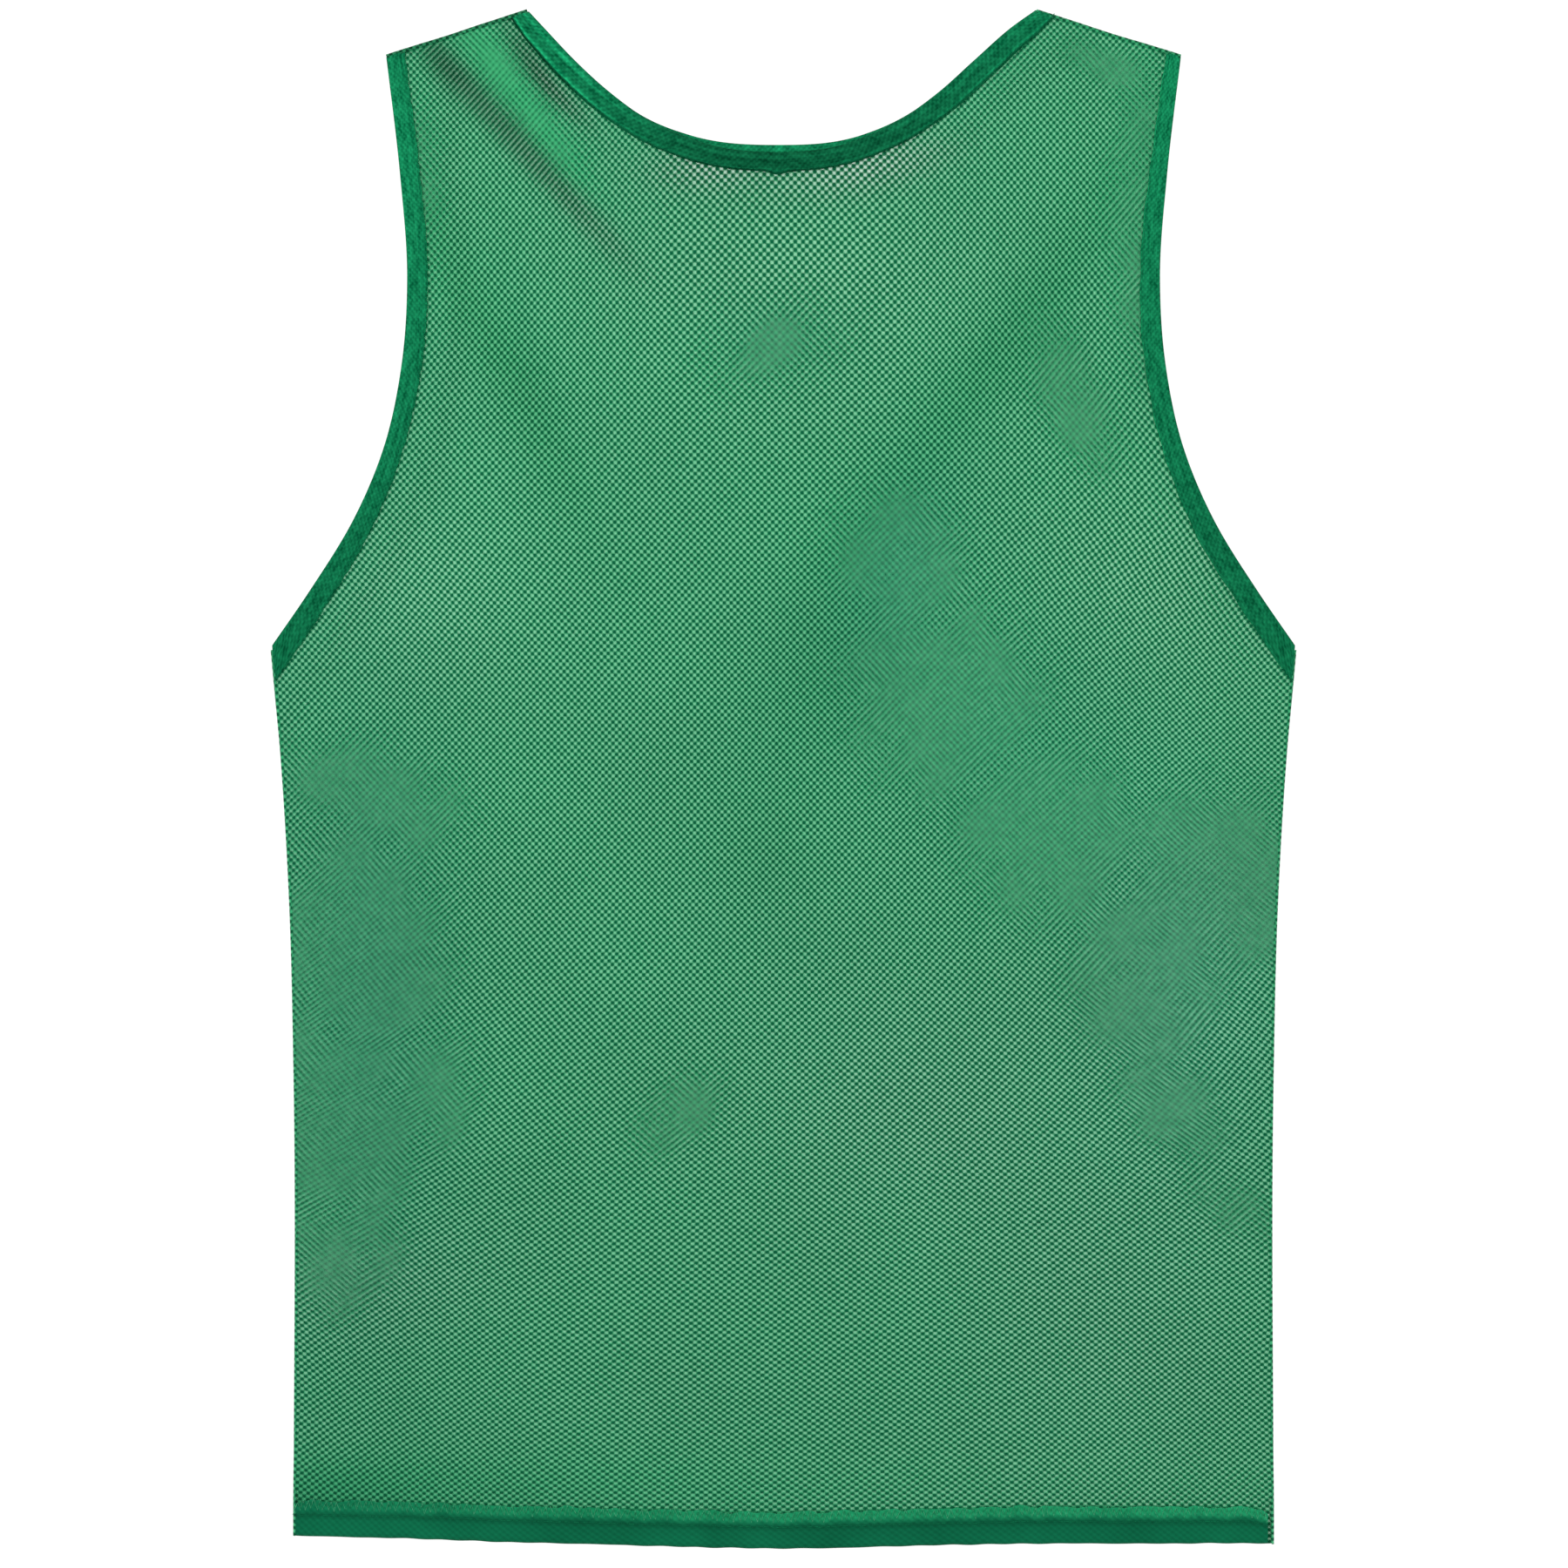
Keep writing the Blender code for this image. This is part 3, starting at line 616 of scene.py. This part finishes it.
# Weft-knitted polyester, brushed dull, with uneven flecks of lighter yarn. Its real stitches are 0.6 mm,
# drawn here 1.8 mm apart so that they show.
LOOPS = 3500                    # radians of the stitch pattern to a metre, which puts its loops 1.8 mm apart
knit, tree, cloth = new_finish("dull polyester rib knit")
lay = add(tree, "ShaderNodeUVMap", {"uv_map": "lay"}).outputs[0]
loops = add(tree, "ShaderNodeMapping", {},
            {"Vector": lay, "Rotation": (0, 0, 0.8), "Scale": (LOOPS, LOOPS, 1)}).outputs[0]
skew = add(tree, "ShaderNodeVectorMath", {"operation": "SINE"}, {0: loops}).outputs[0]
skew = add(tree, "ShaderNodeSeparateXYZ", {}, {0: skew}).outputs["Y"]
shifted = add(tree, "ShaderNodeCombineXYZ", {}, {"X": skew}).outputs[0]
loops = add(tree, "ShaderNodeVectorMath", {"operation": "ADD"}, {0: loops, 1: shifted}).outputs[0]
loops = add(tree, "ShaderNodeVectorMath", {"operation": "COSINE"}, {0: loops}).outputs[0]
loops = add(tree, "ShaderNodeVectorMath", {"operation": "DOT_PRODUCT"},
            {0: loops, 1: (0.22, 0.28, 0)}).outputs["Value"]
streaks = add(tree, "ShaderNodeMapping", {}, {"Vector": lay, "Scale": (85.0, 480.0, 1.0)}).outputs[0]
streaks = add(tree, "ShaderNodeTexNoise", {}, {"Vector": streaks, "Scale": 1.0, "Detail": 2.0}).outputs[0]
flecks = add(tree, "ShaderNodeMapping", {}, {"Vector": lay, "Scale": (330.0, 520.0, 1.0)}).outputs[0]
flecks = add(tree, "ShaderNodeTexNoise", {}, {"Vector": flecks, "Scale": 1.0, "Detail": 3.0}).outputs[0]
tone = add(tree, "ShaderNodeMath", {"operation": "MULTIPLY"}, {0: loops, 1: 0.32}).outputs[0]
tone = add(tree, "ShaderNodeMath", {"operation": "MULTIPLY_ADD"}, {0: streaks, 1: 0.85, 2: tone}).outputs[0]
tone = add(tree, "ShaderNodeMath", {"operation": "MULTIPLY_ADD"}, {0: flecks, 1: 1.05, 2: tone}).outputs[0]
tone = add(tree, "ShaderNodeMapRange", {}, {"Value": tone, "From Min": 0.64, "From Max": 1.3}).outputs[0]
colour = add(tree, "ShaderNodeMix", {"data_type": "RGBA"},
             {0: tone, 6: linear("#004F30"), 7: linear("#178A5A")}).outputs[2]
# The strips' shade includes a painted shadow line along the neck's inner edge and painted light along the
# arms'
shade = add(tree, "ShaderNodeAttribute", {"attribute_name": "shade"}).outputs["Fac"]
colour = add(tree, "ShaderNodeVectorMath", {"operation": "SCALE"}, {0: colour, "Scale": shade}).outputs[0]
relief = add(tree, "ShaderNodeMath", {"operation": "ADD"}, {0: loops, 1: flecks}).outputs[0]
bump = add(tree, "ShaderNodeBump", {}, {"Height": relief, "Strength": 0.6, "Distance": 0.00025}).outputs[0]
set_sockets(cloth, {"Base Color": colour, "Normal": bump, "Roughness": 0.85, "Specular IOR Level": 0.02})


def strip_edges(cut):
    """The panel's bound edges, each with the seam directions that close its ends."""
    arm = cut.armhole[(cut.armhole[:, 1] > cut.underarm)
                      & (cut.armhole[:, 1] < cut.shoulder_y(cut.armhole[:, 0]) - SEAM_ROOM)]
    neck = cut.neck[(cut.neck[:, 0] > cut.tip_x[0] + SEAM_ROOM) & (cut.neck[:, 0] < cut.tip_x[1] - SEAM_ROOM)]
    down = np.array([cut.side_seam(0.05) - cut.side_seam(0.06), -0.01])
    over_left = cut.left_tip - cut.shoulder_end * (-1, 1)
    over_right = cut.right_tip - cut.shoulder_end
    return {
        "arm_binding_left": (arm * (-1, 1), -1, (down * (-1, 1), over_left), ARM_BINDING, ARM_WIDTHS["left"],
                             BINDING_RELIEF, ARM_SHADES["left"], (ARM_STREAKS_AND_PAINTED_LIGHT, ARM_STREAKINESS), None),
        "arm_binding_right": (arm, 1, (down, over_right), ARM_BINDING, ARM_WIDTHS["right"],
                              BINDING_RELIEF, ARM_SHADES["right"], (ARM_STREAKS_AND_PAINTED_LIGHT, ARM_STREAKINESS), None),
        "neck_binding": (neck, -1, (-over_left, -over_right), NECK_BINDING, NECK_WIDTHS,
                         NECK_RELIEF, NECK_SHADES, (NECK_STREAKS_AND_PAINTED_SHADOW, NECK_STREAKINESS), NECK_JOIN),
    }


sewing_lines = {"front": [], "back": []}
bindings = {"front": [], "back": []}
for face, cut, level, crown in (("back", back_cut, BACK_BOUND, 0.0), ("front", front_cut, FRONT_BOUND, 1.0)):
    for i, (title, (edge, side, seams, width, widths, relief, shades, streaks, join)) in enumerate(
            strip_edges(cut).items()):
        outer, inner, lay = strip_faces(edge, side, seams, width, widths, level, relief, crown, 11 + i,
                                        join if face == "front" else None)
        if face == "back":      # less creased, and lighter where it shows over the front's
            shades = BACK_SHADES
        shade = strip_shade(lay, shades, *streaks)
        if face == "back" and join:
            shade = shade + 0.6 * np.exp(-((outer[..., 0] - join[0]) / (2.2 * MM)) ** 2)
        piece = add_wall(f"{title}_{face}_knit", outer, inner, {"lay": lay}, knit, {"shade": shade})
        sewing_lines[face].append(line_on_strip(outer, lay, width - LOCKSTITCH_INSET, LOCKSTITCH_LIFT))
        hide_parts(f"{title}_{face}")
        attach(piece, "root")
        bindings[face].append(piece)


# Hem bands
# The net turned over twice at the hem and oversewn: three layers make it dark and close, with a puffed
# lighter band over the sewing and a groove under it. The front's stops short of the right side seam.
HEM_SHORT, HEM_SCALLOP = 2.9 * MM, 0.8 * MM
HEM_WIDTH = 15.4 * MM           # as it shows, which is less than the fold's 18 mm
HEM_RELIEF = [(-1, 0), (0, 0), (2.5, 0.12), (7.2, 0.1), (8.6, -0.35), (9.8, 0.15), (12.0, 0.35), (13.8, 0.0),
              (15.8, -0.8)]
HEM_WIDTHS = [(0, 0.98), (0.1, 1.0), (0.5, 1.0), (0.8, 1.02), (0.984, 1.0), (0.993, 0.94), (1, 0.78)]
HEM_SHADES = [(0, 1.04), (0.2, 1.0), (0.5, 0.97), (1, 1.0)]
# Shade at millimetres from the fold: the dip from 7.6 to 9.8 mm is painted shade in the groove under the
# puffed band
HEM_STREAKS_AND_PAINTED_SHADE = [(-1, -0.1), (0.6, 0.08), (2.7, 0.09), (4.7, 0.04), (6.6, 0), (7.6, -0.16), (8.8, -0.2),
               (9.8, -0.05), (11.2, 0.02), (13, 0.06), (15.4, 0.04)]
# How strongly the light band shows, at shares of the way along: it is flattened at the left
HEM_PUFFS = [(0, 0.15), (0.08, 0.3), (0.16, 0.55), (0.28, 0.8), (0.45, 0.8), (0.6, 1), (1, 1)]

# The puffed band is lighter.
hem_net, tree, cloth = new_finish("folded polyester net")
place = add(tree, "ShaderNodeTexCoord").outputs["Object"]
cells = add(tree, "ShaderNodeUVMap", {"uv_map": "net cells"}).outputs[0]
lay = add(tree, "ShaderNodeUVMap", {"uv_map": "lay"}).outputs[0]
turns = add(tree, "ShaderNodeVectorMath", {"operation": "SCALE"}, {0: cells, "Scale": 2 * np.pi}).outputs[0]
waves = add(tree, "ShaderNodeVectorMath", {"operation": "COSINE"}, {0: turns}).outputs[0]
waves = add(tree, "ShaderNodeVectorMath", {"operation": "DOT_PRODUCT"},
            {0: waves, 1: (0.14, 0.08, 0)}).outputs["Value"]
patches = add(tree, "ShaderNodeTexNoise", {}, {"Vector": place, "Scale": 34.0, "Detail": 3.0}).outputs[0]
grain = add(tree, "ShaderNodeMath", {"operation": "ADD"}, {0: waves, 1: patches}).outputs[0]
dark = add(tree, "ShaderNodeMix", {"data_type": "RGBA"},
           {0: grain, 6: linear("#014D32"), 7: linear("#0A6B48")}).outputs[2]
light = add(tree, "ShaderNodeMix", {"data_type": "RGBA"},
            {0: grain, 6: linear("#087046"), 7: linear("#27A26D")}).outputs[2]
fuzz = add(tree, "ShaderNodeTexNoise", {}, {"Vector": place, "Scale": 330.0, "Detail": 2.0}).outputs[0]
across_band = add(tree, "ShaderNodeSeparateXYZ", {}, {0: lay}).outputs["Y"]
across_band = add(tree, "ShaderNodeMath", {"operation": "MULTIPLY_ADD"},
                  {0: fuzz, 1: 0.0035, 2: across_band}).outputs[0]
puffed = add(tree, "ShaderNodeMapRange", {"interpolation_type": "SMOOTHSTEP"},
             {"Value": across_band, "From Min": 0.0124, "From Max": 0.0178}).outputs[0]
puff = add(tree, "ShaderNodeAttribute", {"attribute_name": "puff"}).outputs["Fac"]
puffed = add(tree, "ShaderNodeMath", {"operation": "MULTIPLY"}, {0: puffed, 1: puff}).outputs[0]
colour = add(tree, "ShaderNodeMix", {"data_type": "RGBA"}, {0: puffed, 6: dark, 7: light}).outputs[2]
# The shade includes painted shade in the groove
shade = add(tree, "ShaderNodeAttribute", {"attribute_name": "shade"}).outputs["Fac"]
colour = add(tree, "ShaderNodeVectorMath", {"operation": "SCALE"}, {0: colour, "Scale": shade}).outputs[0]
bump = add(tree, "ShaderNodeBump", {}, {"Height": grain, "Strength": 0.5, "Distance": 0.0003}).outputs[0]
set_sockets(cloth, {"Base Color": colour, "Normal": bump,
                    "Roughness": 0.75, "Specular IOR Level": 0.03, "Sheen Weight": 0.04})

hems, hem_tops = {}, {}
for face, cut, level, crown in (("back", back_cut, BACK_BOUND, 0.0), ("front", front_cut, FRONT_BOUND, 1.0)):
    edge = cut.bound_hem[(cut.hem[:, 0] > -0.225 + SEAM_ROOM) & (cut.hem[:, 0] < 0.225 - HEM_SHORT)]
    outer, inner, lay = strip_faces(edge, 1, ((0, 1), (0, 1)), HEM_WIDTH, HEM_WIDTHS, level, HEM_RELIEF,
                                    crown, 23, scallop=HEM_SCALLOP * crown)
    maps = {"lay": lay, "net cells": net_cells(outer[..., :2])}
    values = {"shade": strip_shade(lay, HEM_SHADES, HEM_STREAKS_AND_PAINTED_SHADE),
              "puff": between(lay[..., 0] / lay[-1, 0, 0], HEM_PUFFS)}
    hems[face] = add_wall(f"hem_band_{face}_net", outer, inner, maps, hem_net, values)
    hem_tops[face] = (outer, lay)
    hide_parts(f"hem_band_{face}")
    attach(hems[face], "root")


# Side and shoulder seams
# The front and the back are sewn together inside out and turned, so each seam shows as a narrow rolled edge.
ROLL_THICKNESS, ROLL_INSET = 0.3 * MM, 2 * MM
SIDE_OVERLAP, SHOULDER_OVERLAP = 0.5 * MM, 1.1 * MM


def add_seam_roll(name, line, outward, overlap, shade, sheer):
    """A narrow roll of cloth that closes the edge between the front's top and the back's underside."""
    line = evenly(line, 2.0 * MM)
    away = outward * run_and_left(line)[1]
    near = line - away * ROLL_INSET
    top = front_underside(front_cut, near, front_cut.clearance(near)) + WALL_MIDDLE + NET_THICKNESS / 2
    top = top + 1.6 * MM * fading(front_cut.clearance(near), 0, 1.5 * MM)
    low = back_underside(back_cut, near, back_cut.clearance(near)) + WALL_MIDDLE - NET_THICKNESS / 2
    low = low - 1.2 * MM * fading(back_cut.clearance(near), 0, 1.5 * MM)
    turns = np.radians(np.linspace(90, -90, 9))
    faces = []
    for shrink in (0.0, ROLL_THICKNESS):
        rise = np.concatenate([[1], np.sin(turns), [-1]])
        out = np.concatenate([[-overlap], (SEAM_ROOM - shrink) * np.cos(turns), [-overlap]]) - SEAM_ROOM
        middle, half = (top + low)[:, None] / 2, (top - low)[:, None] / 2 + 0.12 * MM - shrink
        flat = line[:, None] + away[:, None] * out[:, None]
        faces.append(np.concatenate([flat, (middle + half * rise)[..., None]], axis=-1))
    cells = net_cells(faces[0][..., :2])
    piece = add_wall(name, faces[0], faces[1], {"net cells": cells}, net,
                     {"weave": weave_depth(0 * cells), "tint": np.full((*cells.shape[:-1], 3), shade),
                      "sheer": np.full(cells.shape[:-1], sheer)})
    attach(piece, "root")
    return piece


heights = np.linspace(HEM[0][1] + 0.15, front_cut.underarm / MM + 1, 200) * MM
left_side = np.stack([-front_cut.side_seam(heights), heights], axis=1)
heights = np.linspace(HEM[-1][1] + 0.15, front_cut.underarm / MM + 1, 200) * MM
right_side = np.stack([front_cut.side_seam(heights), heights], axis=1)
left_shoulder = np.linspace(front_cut.shoulder_end * (-1, 1), front_cut.left_tip, 40)
right_shoulder = np.linspace(front_cut.right_tip, front_cut.shoulder_end, 40)
seams = [add_seam_roll("side_seam_left", left_side, 1, SIDE_OVERLAP, 0.85, 0.2),
         add_seam_roll("side_seam_right", right_side, -1, SIDE_OVERLAP, 0.85, 0.2),
         add_seam_roll("shoulder_seam_left", left_shoulder, 1, SHOULDER_OVERLAP, 0.45, 0.1),
         add_seam_roll("shoulder_seam_right", right_shoulder, 1, SHOULDER_OVERLAP, 0.7, 0.15)]


# Sewing thread
# Spun polyester thread, dyed to match. One row of lockstitch holds each binding's inner edge, and a zigzag of
# overlock runs along the hem's puffed band.
STITCH, STITCH_GAP, THREAD, LOOPER_THREAD = 2.3 * MM, 0.5 * MM, 0.26 * MM, 0.4 * MM
ZIGZAG_PITCH, ZIGZAG_WIDTH = 1.3 * MM, 4.6 * MM
HEM_STITCH_DEPTH, OVERLOCK_DEPTH, OVERLOCK_LIFT = 8.8 * MM, 13.5 * MM, 0.2 * MM    # depths from the fold


def thread_finish(name, dark, light):
    """Dull dyed thread, lighter and darker by turns where its twist catches the light."""
    finish, tree, surface = new_finish(name)
    place = add(tree, "ShaderNodeTexCoord").outputs["Object"]
    twist = add(tree, "ShaderNodeTexNoise", {}, {"Vector": place, "Scale": 600.0, "Detail": 1.0}).outputs[0]
    twist = add(tree, "ShaderNodeMapRange", {}, {"Value": twist, "From Min": 0.3, "From Max": 0.7}).outputs[0]
    colour = add(tree, "ShaderNodeMix", {"data_type": "RGBA"},
                 {0: twist, 6: linear(dark), 7: linear(light)}).outputs[2]
    bump = add(tree, "ShaderNodeBump", {}, {"Height": twist, "Strength": 0.4, "Distance": 0.0001}).outputs[0]
    set_sockets(surface, {"Base Color": colour, "Normal": bump, "Roughness": 0.6, "Specular IOR Level": 0.08})
    return finish


def new_sewing(name, sizes, finish):
    """A node group that sews along a seam, with its sizes and thread as named inputs."""
    group = bpy.data.node_groups.new(name, "GeometryNodeTree")
    group.interface.new_socket("Seam", in_out="INPUT", socket_type="NodeSocketGeometry")
    for title, value in {**sizes, "Thread": finish}.items():
        kind = {float: "Float", int: "Int"}.get(type(value), "Material")
        socket = group.interface.new_socket(title, in_out="INPUT", socket_type=f"NodeSocket{kind}")
        socket.default_value = value
    group.interface.new_socket("Stitches", in_out="OUTPUT", socket_type="NodeSocketGeometry")
    return group, add(group, "NodeGroupInput").outputs


# The lockstitch thread sinks into the knit; the softer overlock thread is paler than the band that it lies on
thread = thread_finish("spun polyester thread", "#03573A", "#0A7A4E")
looper_thread = thread_finish("textured polyester thread", "#0B7F50", "#6FC79C")

stitching, inputs = new_sewing("lockstitch", {"Length": STITCH, "Gap": STITCH_GAP, "Thickness": THREAD,
                                              "Unevenness": 0.09, "Seed": 5}, thread)
tree = stitching
pitch = add(tree, "ShaderNodeMath", {"operation": "ADD"}, {0: inputs["Length"], 1: inputs["Gap"]}).outputs[0]
line = add(tree, "GeometryNodeMeshToCurve", {}, {0: inputs["Seam"]}).outputs[0]
line = add(tree, "GeometryNodeResampleCurve", {"mode": "LENGTH"}, {"Curve": line, "Length": pitch}).outputs[0]
half = add(tree, "ShaderNodeMath", {"operation": "MULTIPLY"}, {0: inputs["Length"], 1: 0.5}).outputs[0]
front_end = add(tree, "ShaderNodeCombineXYZ", {}, {"X": half}).outputs[0]
back_end = add(tree, "ShaderNodeVectorMath", {"operation": "SCALE"}, {0: front_end, "Scale": -1.0}).outputs[0]
top = add(tree, "ShaderNodeCombineXYZ", {}, {"Z": inputs["Thickness"]}).outputs[0]
stitch = add(tree, "GeometryNodeCurveQuadraticBezier", {},
             {"Resolution": 5, "Start": back_end, "Middle": top, "End": front_end}).outputs[0]
radius = add(tree, "ShaderNodeMath", {"operation": "MULTIPLY"}, {0: inputs["Thickness"], 1: 0.5}).outputs[0]
ring = add(tree, "GeometryNodeCurvePrimitiveCircle", {}, {"Resolution": 6, "Radius": radius}).outputs[0]
stitch = add(tree, "GeometryNodeCurveToMesh", {},
             {"Curve": stitch, "Profile Curve": ring, "Fill Caps": True}).outputs[0]
tangent = add(tree, "GeometryNodeInputTangent").outputs[0]
sway = inputs["Unevenness"]
sway = add(tree, "ShaderNodeCombineXYZ", {}, {"X": sway, "Y": sway}).outputs[0]
least = add(tree, "ShaderNodeVectorMath", {"operation": "SCALE"}, {0: sway, "Scale": -1.0}).outputs[0]
sway = add(tree, "FunctionNodeRandomValue", {"data_type": "FLOAT_VECTOR"},
           {0: least, 1: sway, "Seed": inputs["Seed"]}).outputs[0]
heading = add(tree, "ShaderNodeVectorMath", {"operation": "ADD"}, {0: tangent, 1: sway}).outputs[0]
turned = add(tree, "FunctionNodeAlignRotationToVector", {"axis": "X", "pivot_axis": "Z"},
             {"Vector": heading}).outputs[0]
row = add(tree, "GeometryNodeInstanceOnPoints", {},
          {"Points": line, "Instance": stitch, "Rotation": turned}).outputs[0]
row = add(tree, "GeometryNodeRealizeInstances", {}, {0: row}).outputs[0]
row = add(tree, "GeometryNodeSetShadeSmooth", {}, {0: row}).outputs[0]
row = add(tree, "GeometryNodeSetMaterial", {}, {"Geometry": row, "Material": inputs["Thread"]}).outputs[0]
add(tree, "NodeGroupOutput", {}, {0: row})

overlocking, inputs = new_sewing("overlock zigzag", {"Pitch": ZIGZAG_PITCH, "Width": ZIGZAG_WIDTH,
                                                     "Thickness": LOOPER_THREAD, "Unevenness": 0.5 * MM,
                                                     "Seed": 8}, looper_thread)
tree = overlocking
line = add(tree, "GeometryNodeMeshToCurve", {}, {0: inputs["Seam"]}).outputs[0]
line = add(tree, "GeometryNodeResampleCurve", {"mode": "LENGTH"},
           {"Curve": line, "Length": inputs["Pitch"]}).outputs[0]
index = add(tree, "GeometryNodeInputIndex").outputs[0]
parity = add(tree, "ShaderNodeMath", {"operation": "MODULO"}, {0: index, 1: 2.0}).outputs[0]
parity = add(tree, "ShaderNodeMath", {"operation": "SUBTRACT"}, {0: parity, 1: 0.5}).outputs[0]
swing = add(tree, "ShaderNodeMath", {"operation": "MULTIPLY"}, {0: parity, 1: inputs["Width"]}).outputs[0]
swing = add(tree, "ShaderNodeCombineXYZ", {}, {"Y": swing}).outputs[0]
most = inputs["Unevenness"]
most = add(tree, "ShaderNodeCombineXYZ", {}, {"X": most, "Y": most}).outputs[0]
least = add(tree, "ShaderNodeVectorMath", {"operation": "SCALE"}, {0: most, "Scale": -1.0}).outputs[0]
stray = add(tree, "FunctionNodeRandomValue", {"data_type": "FLOAT_VECTOR"},
            {0: least, 1: most, "Seed": inputs["Seed"]}).outputs[0]
swing = add(tree, "ShaderNodeVectorMath", {"operation": "ADD"}, {0: swing, 1: stray}).outputs[0]
line = add(tree, "GeometryNodeSetPosition", {}, {"Geometry": line, "Offset": swing}).outputs[0]
radius = add(tree, "ShaderNodeMath", {"operation": "MULTIPLY"}, {0: inputs["Thickness"], 1: 0.5}).outputs[0]
ring = add(tree, "GeometryNodeCurvePrimitiveCircle", {}, {"Resolution": 5, "Radius": radius}).outputs[0]
row = add(tree, "GeometryNodeCurveToMesh", {},
          {"Curve": line, "Profile Curve": ring, "Fill Caps": True}).outputs[0]
row = add(tree, "GeometryNodeRealizeInstances", {}, {0: row}).outputs[0]
row = add(tree, "GeometryNodeSetMaterial", {}, {"Geometry": row, "Material": inputs["Thread"]}).outputs[0]
add(tree, "NodeGroupOutput", {}, {0: row})


def add_sewing(name, lines, group, **changes):
    """Sews along rows of points, and leaves the thread as a plain mesh."""
    points = np.concatenate(lines)
    breaks = np.cumsum([len(line) for line in lines])
    links = [(i, i + 1) for i in range(len(points) - 1) if i + 1 not in breaks]
    mesh = bpy.data.meshes.new(name)
    mesh.from_pydata(points.tolist(), links, [])
    piece = add_object(name, mesh)
    sewing = piece.modifiers.new("sewing", "NODES")
    sewing.node_group = group
    for socket in group.interface.items_tree:
        if socket.in_out == "INPUT" and socket.name in changes:
            sewing[socket.identifier] = changes[socket.name]
    evaluated = piece.evaluated_get(bpy.context.evaluated_depsgraph_get())
    sewn = bpy.data.meshes.new_from_object(evaluated)
    piece.modifiers.clear()
    piece.data = sewn
    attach(piece, "root")
    return piece


for face in ("front", "back"):
    overlock_line = line_on_strip(*hem_tops[face], OVERLOCK_DEPTH, OVERLOCK_LIFT)
    hem_line = line_on_strip(*hem_tops[face], HEM_STITCH_DEPTH, 0.0)
    add_sewing(f"binding_stitches_{face}", sewing_lines[face], stitching)
    add_sewing(f"hem_overlock_{face}", [overlock_line], overlocking)
    add_sewing(f"hem_stitches_{face}", [hem_line], stitching, Seed=9)


# Table, light and camera
# A pale matt table lit from inside, so the cloth lies on it without a shadow as in the photo and its holes
# show white. Soft studio light, and the camera straight above.
TABLE_REACH, TABLE_HEIGHT = 4.0, -0.2 * MM
laminate, _, board = new_finish("pale matt laminate")
set_sockets(board, {"Base Color": (0.12, 0.12, 0.12, 1), "Roughness": 0.9, "Specular IOR Level": 0.0,
                    "Emission Color": (1, 1, 1, 1), "Emission Strength": 0.98})

mesh = bpy.data.meshes.new("table_top")
corners = [(x * TABLE_REACH, y * TABLE_REACH, TABLE_HEIGHT) for x, y in ((-1, -1), (1, -1), (1, 1), (-1, 1))]
mesh.from_pydata(corners, [], [(0, 1, 2, 3)])
mesh.materials.append(laminate)
table = add_object("table_top", mesh)

scene = bpy.context.scene
scene.world = bpy.data.worlds.new("studio")
scene.world.use_nodes = True
set_sockets(scene.world.node_tree.nodes["Background"], {"Color": (1, 1, 1, 1), "Strength": 0.85})
scene.view_settings.view_transform = "Standard"

for title, spot, size, power in (("key", (-1.5, 1.1, 1.9), 1.2, 26), ("fill", (1.7, -0.8, 2.2), 1.6, 8)):
    lamp = bpy.data.lights.new(title, "AREA")
    lamp.size, lamp.energy = size, power
    light = add_object(title, lamp)
    light.location = spot
    light.rotation_euler = Vector(spot).to_track_quat("Z", "Y").to_euler()

camera = add_object("camera", bpy.data.cameras.new("camera"))
camera.data.sensor_width = 36
camera.data.lens = 200
camera.location = (0.0002, -0.0024, 4.0)
scene.camera = camera
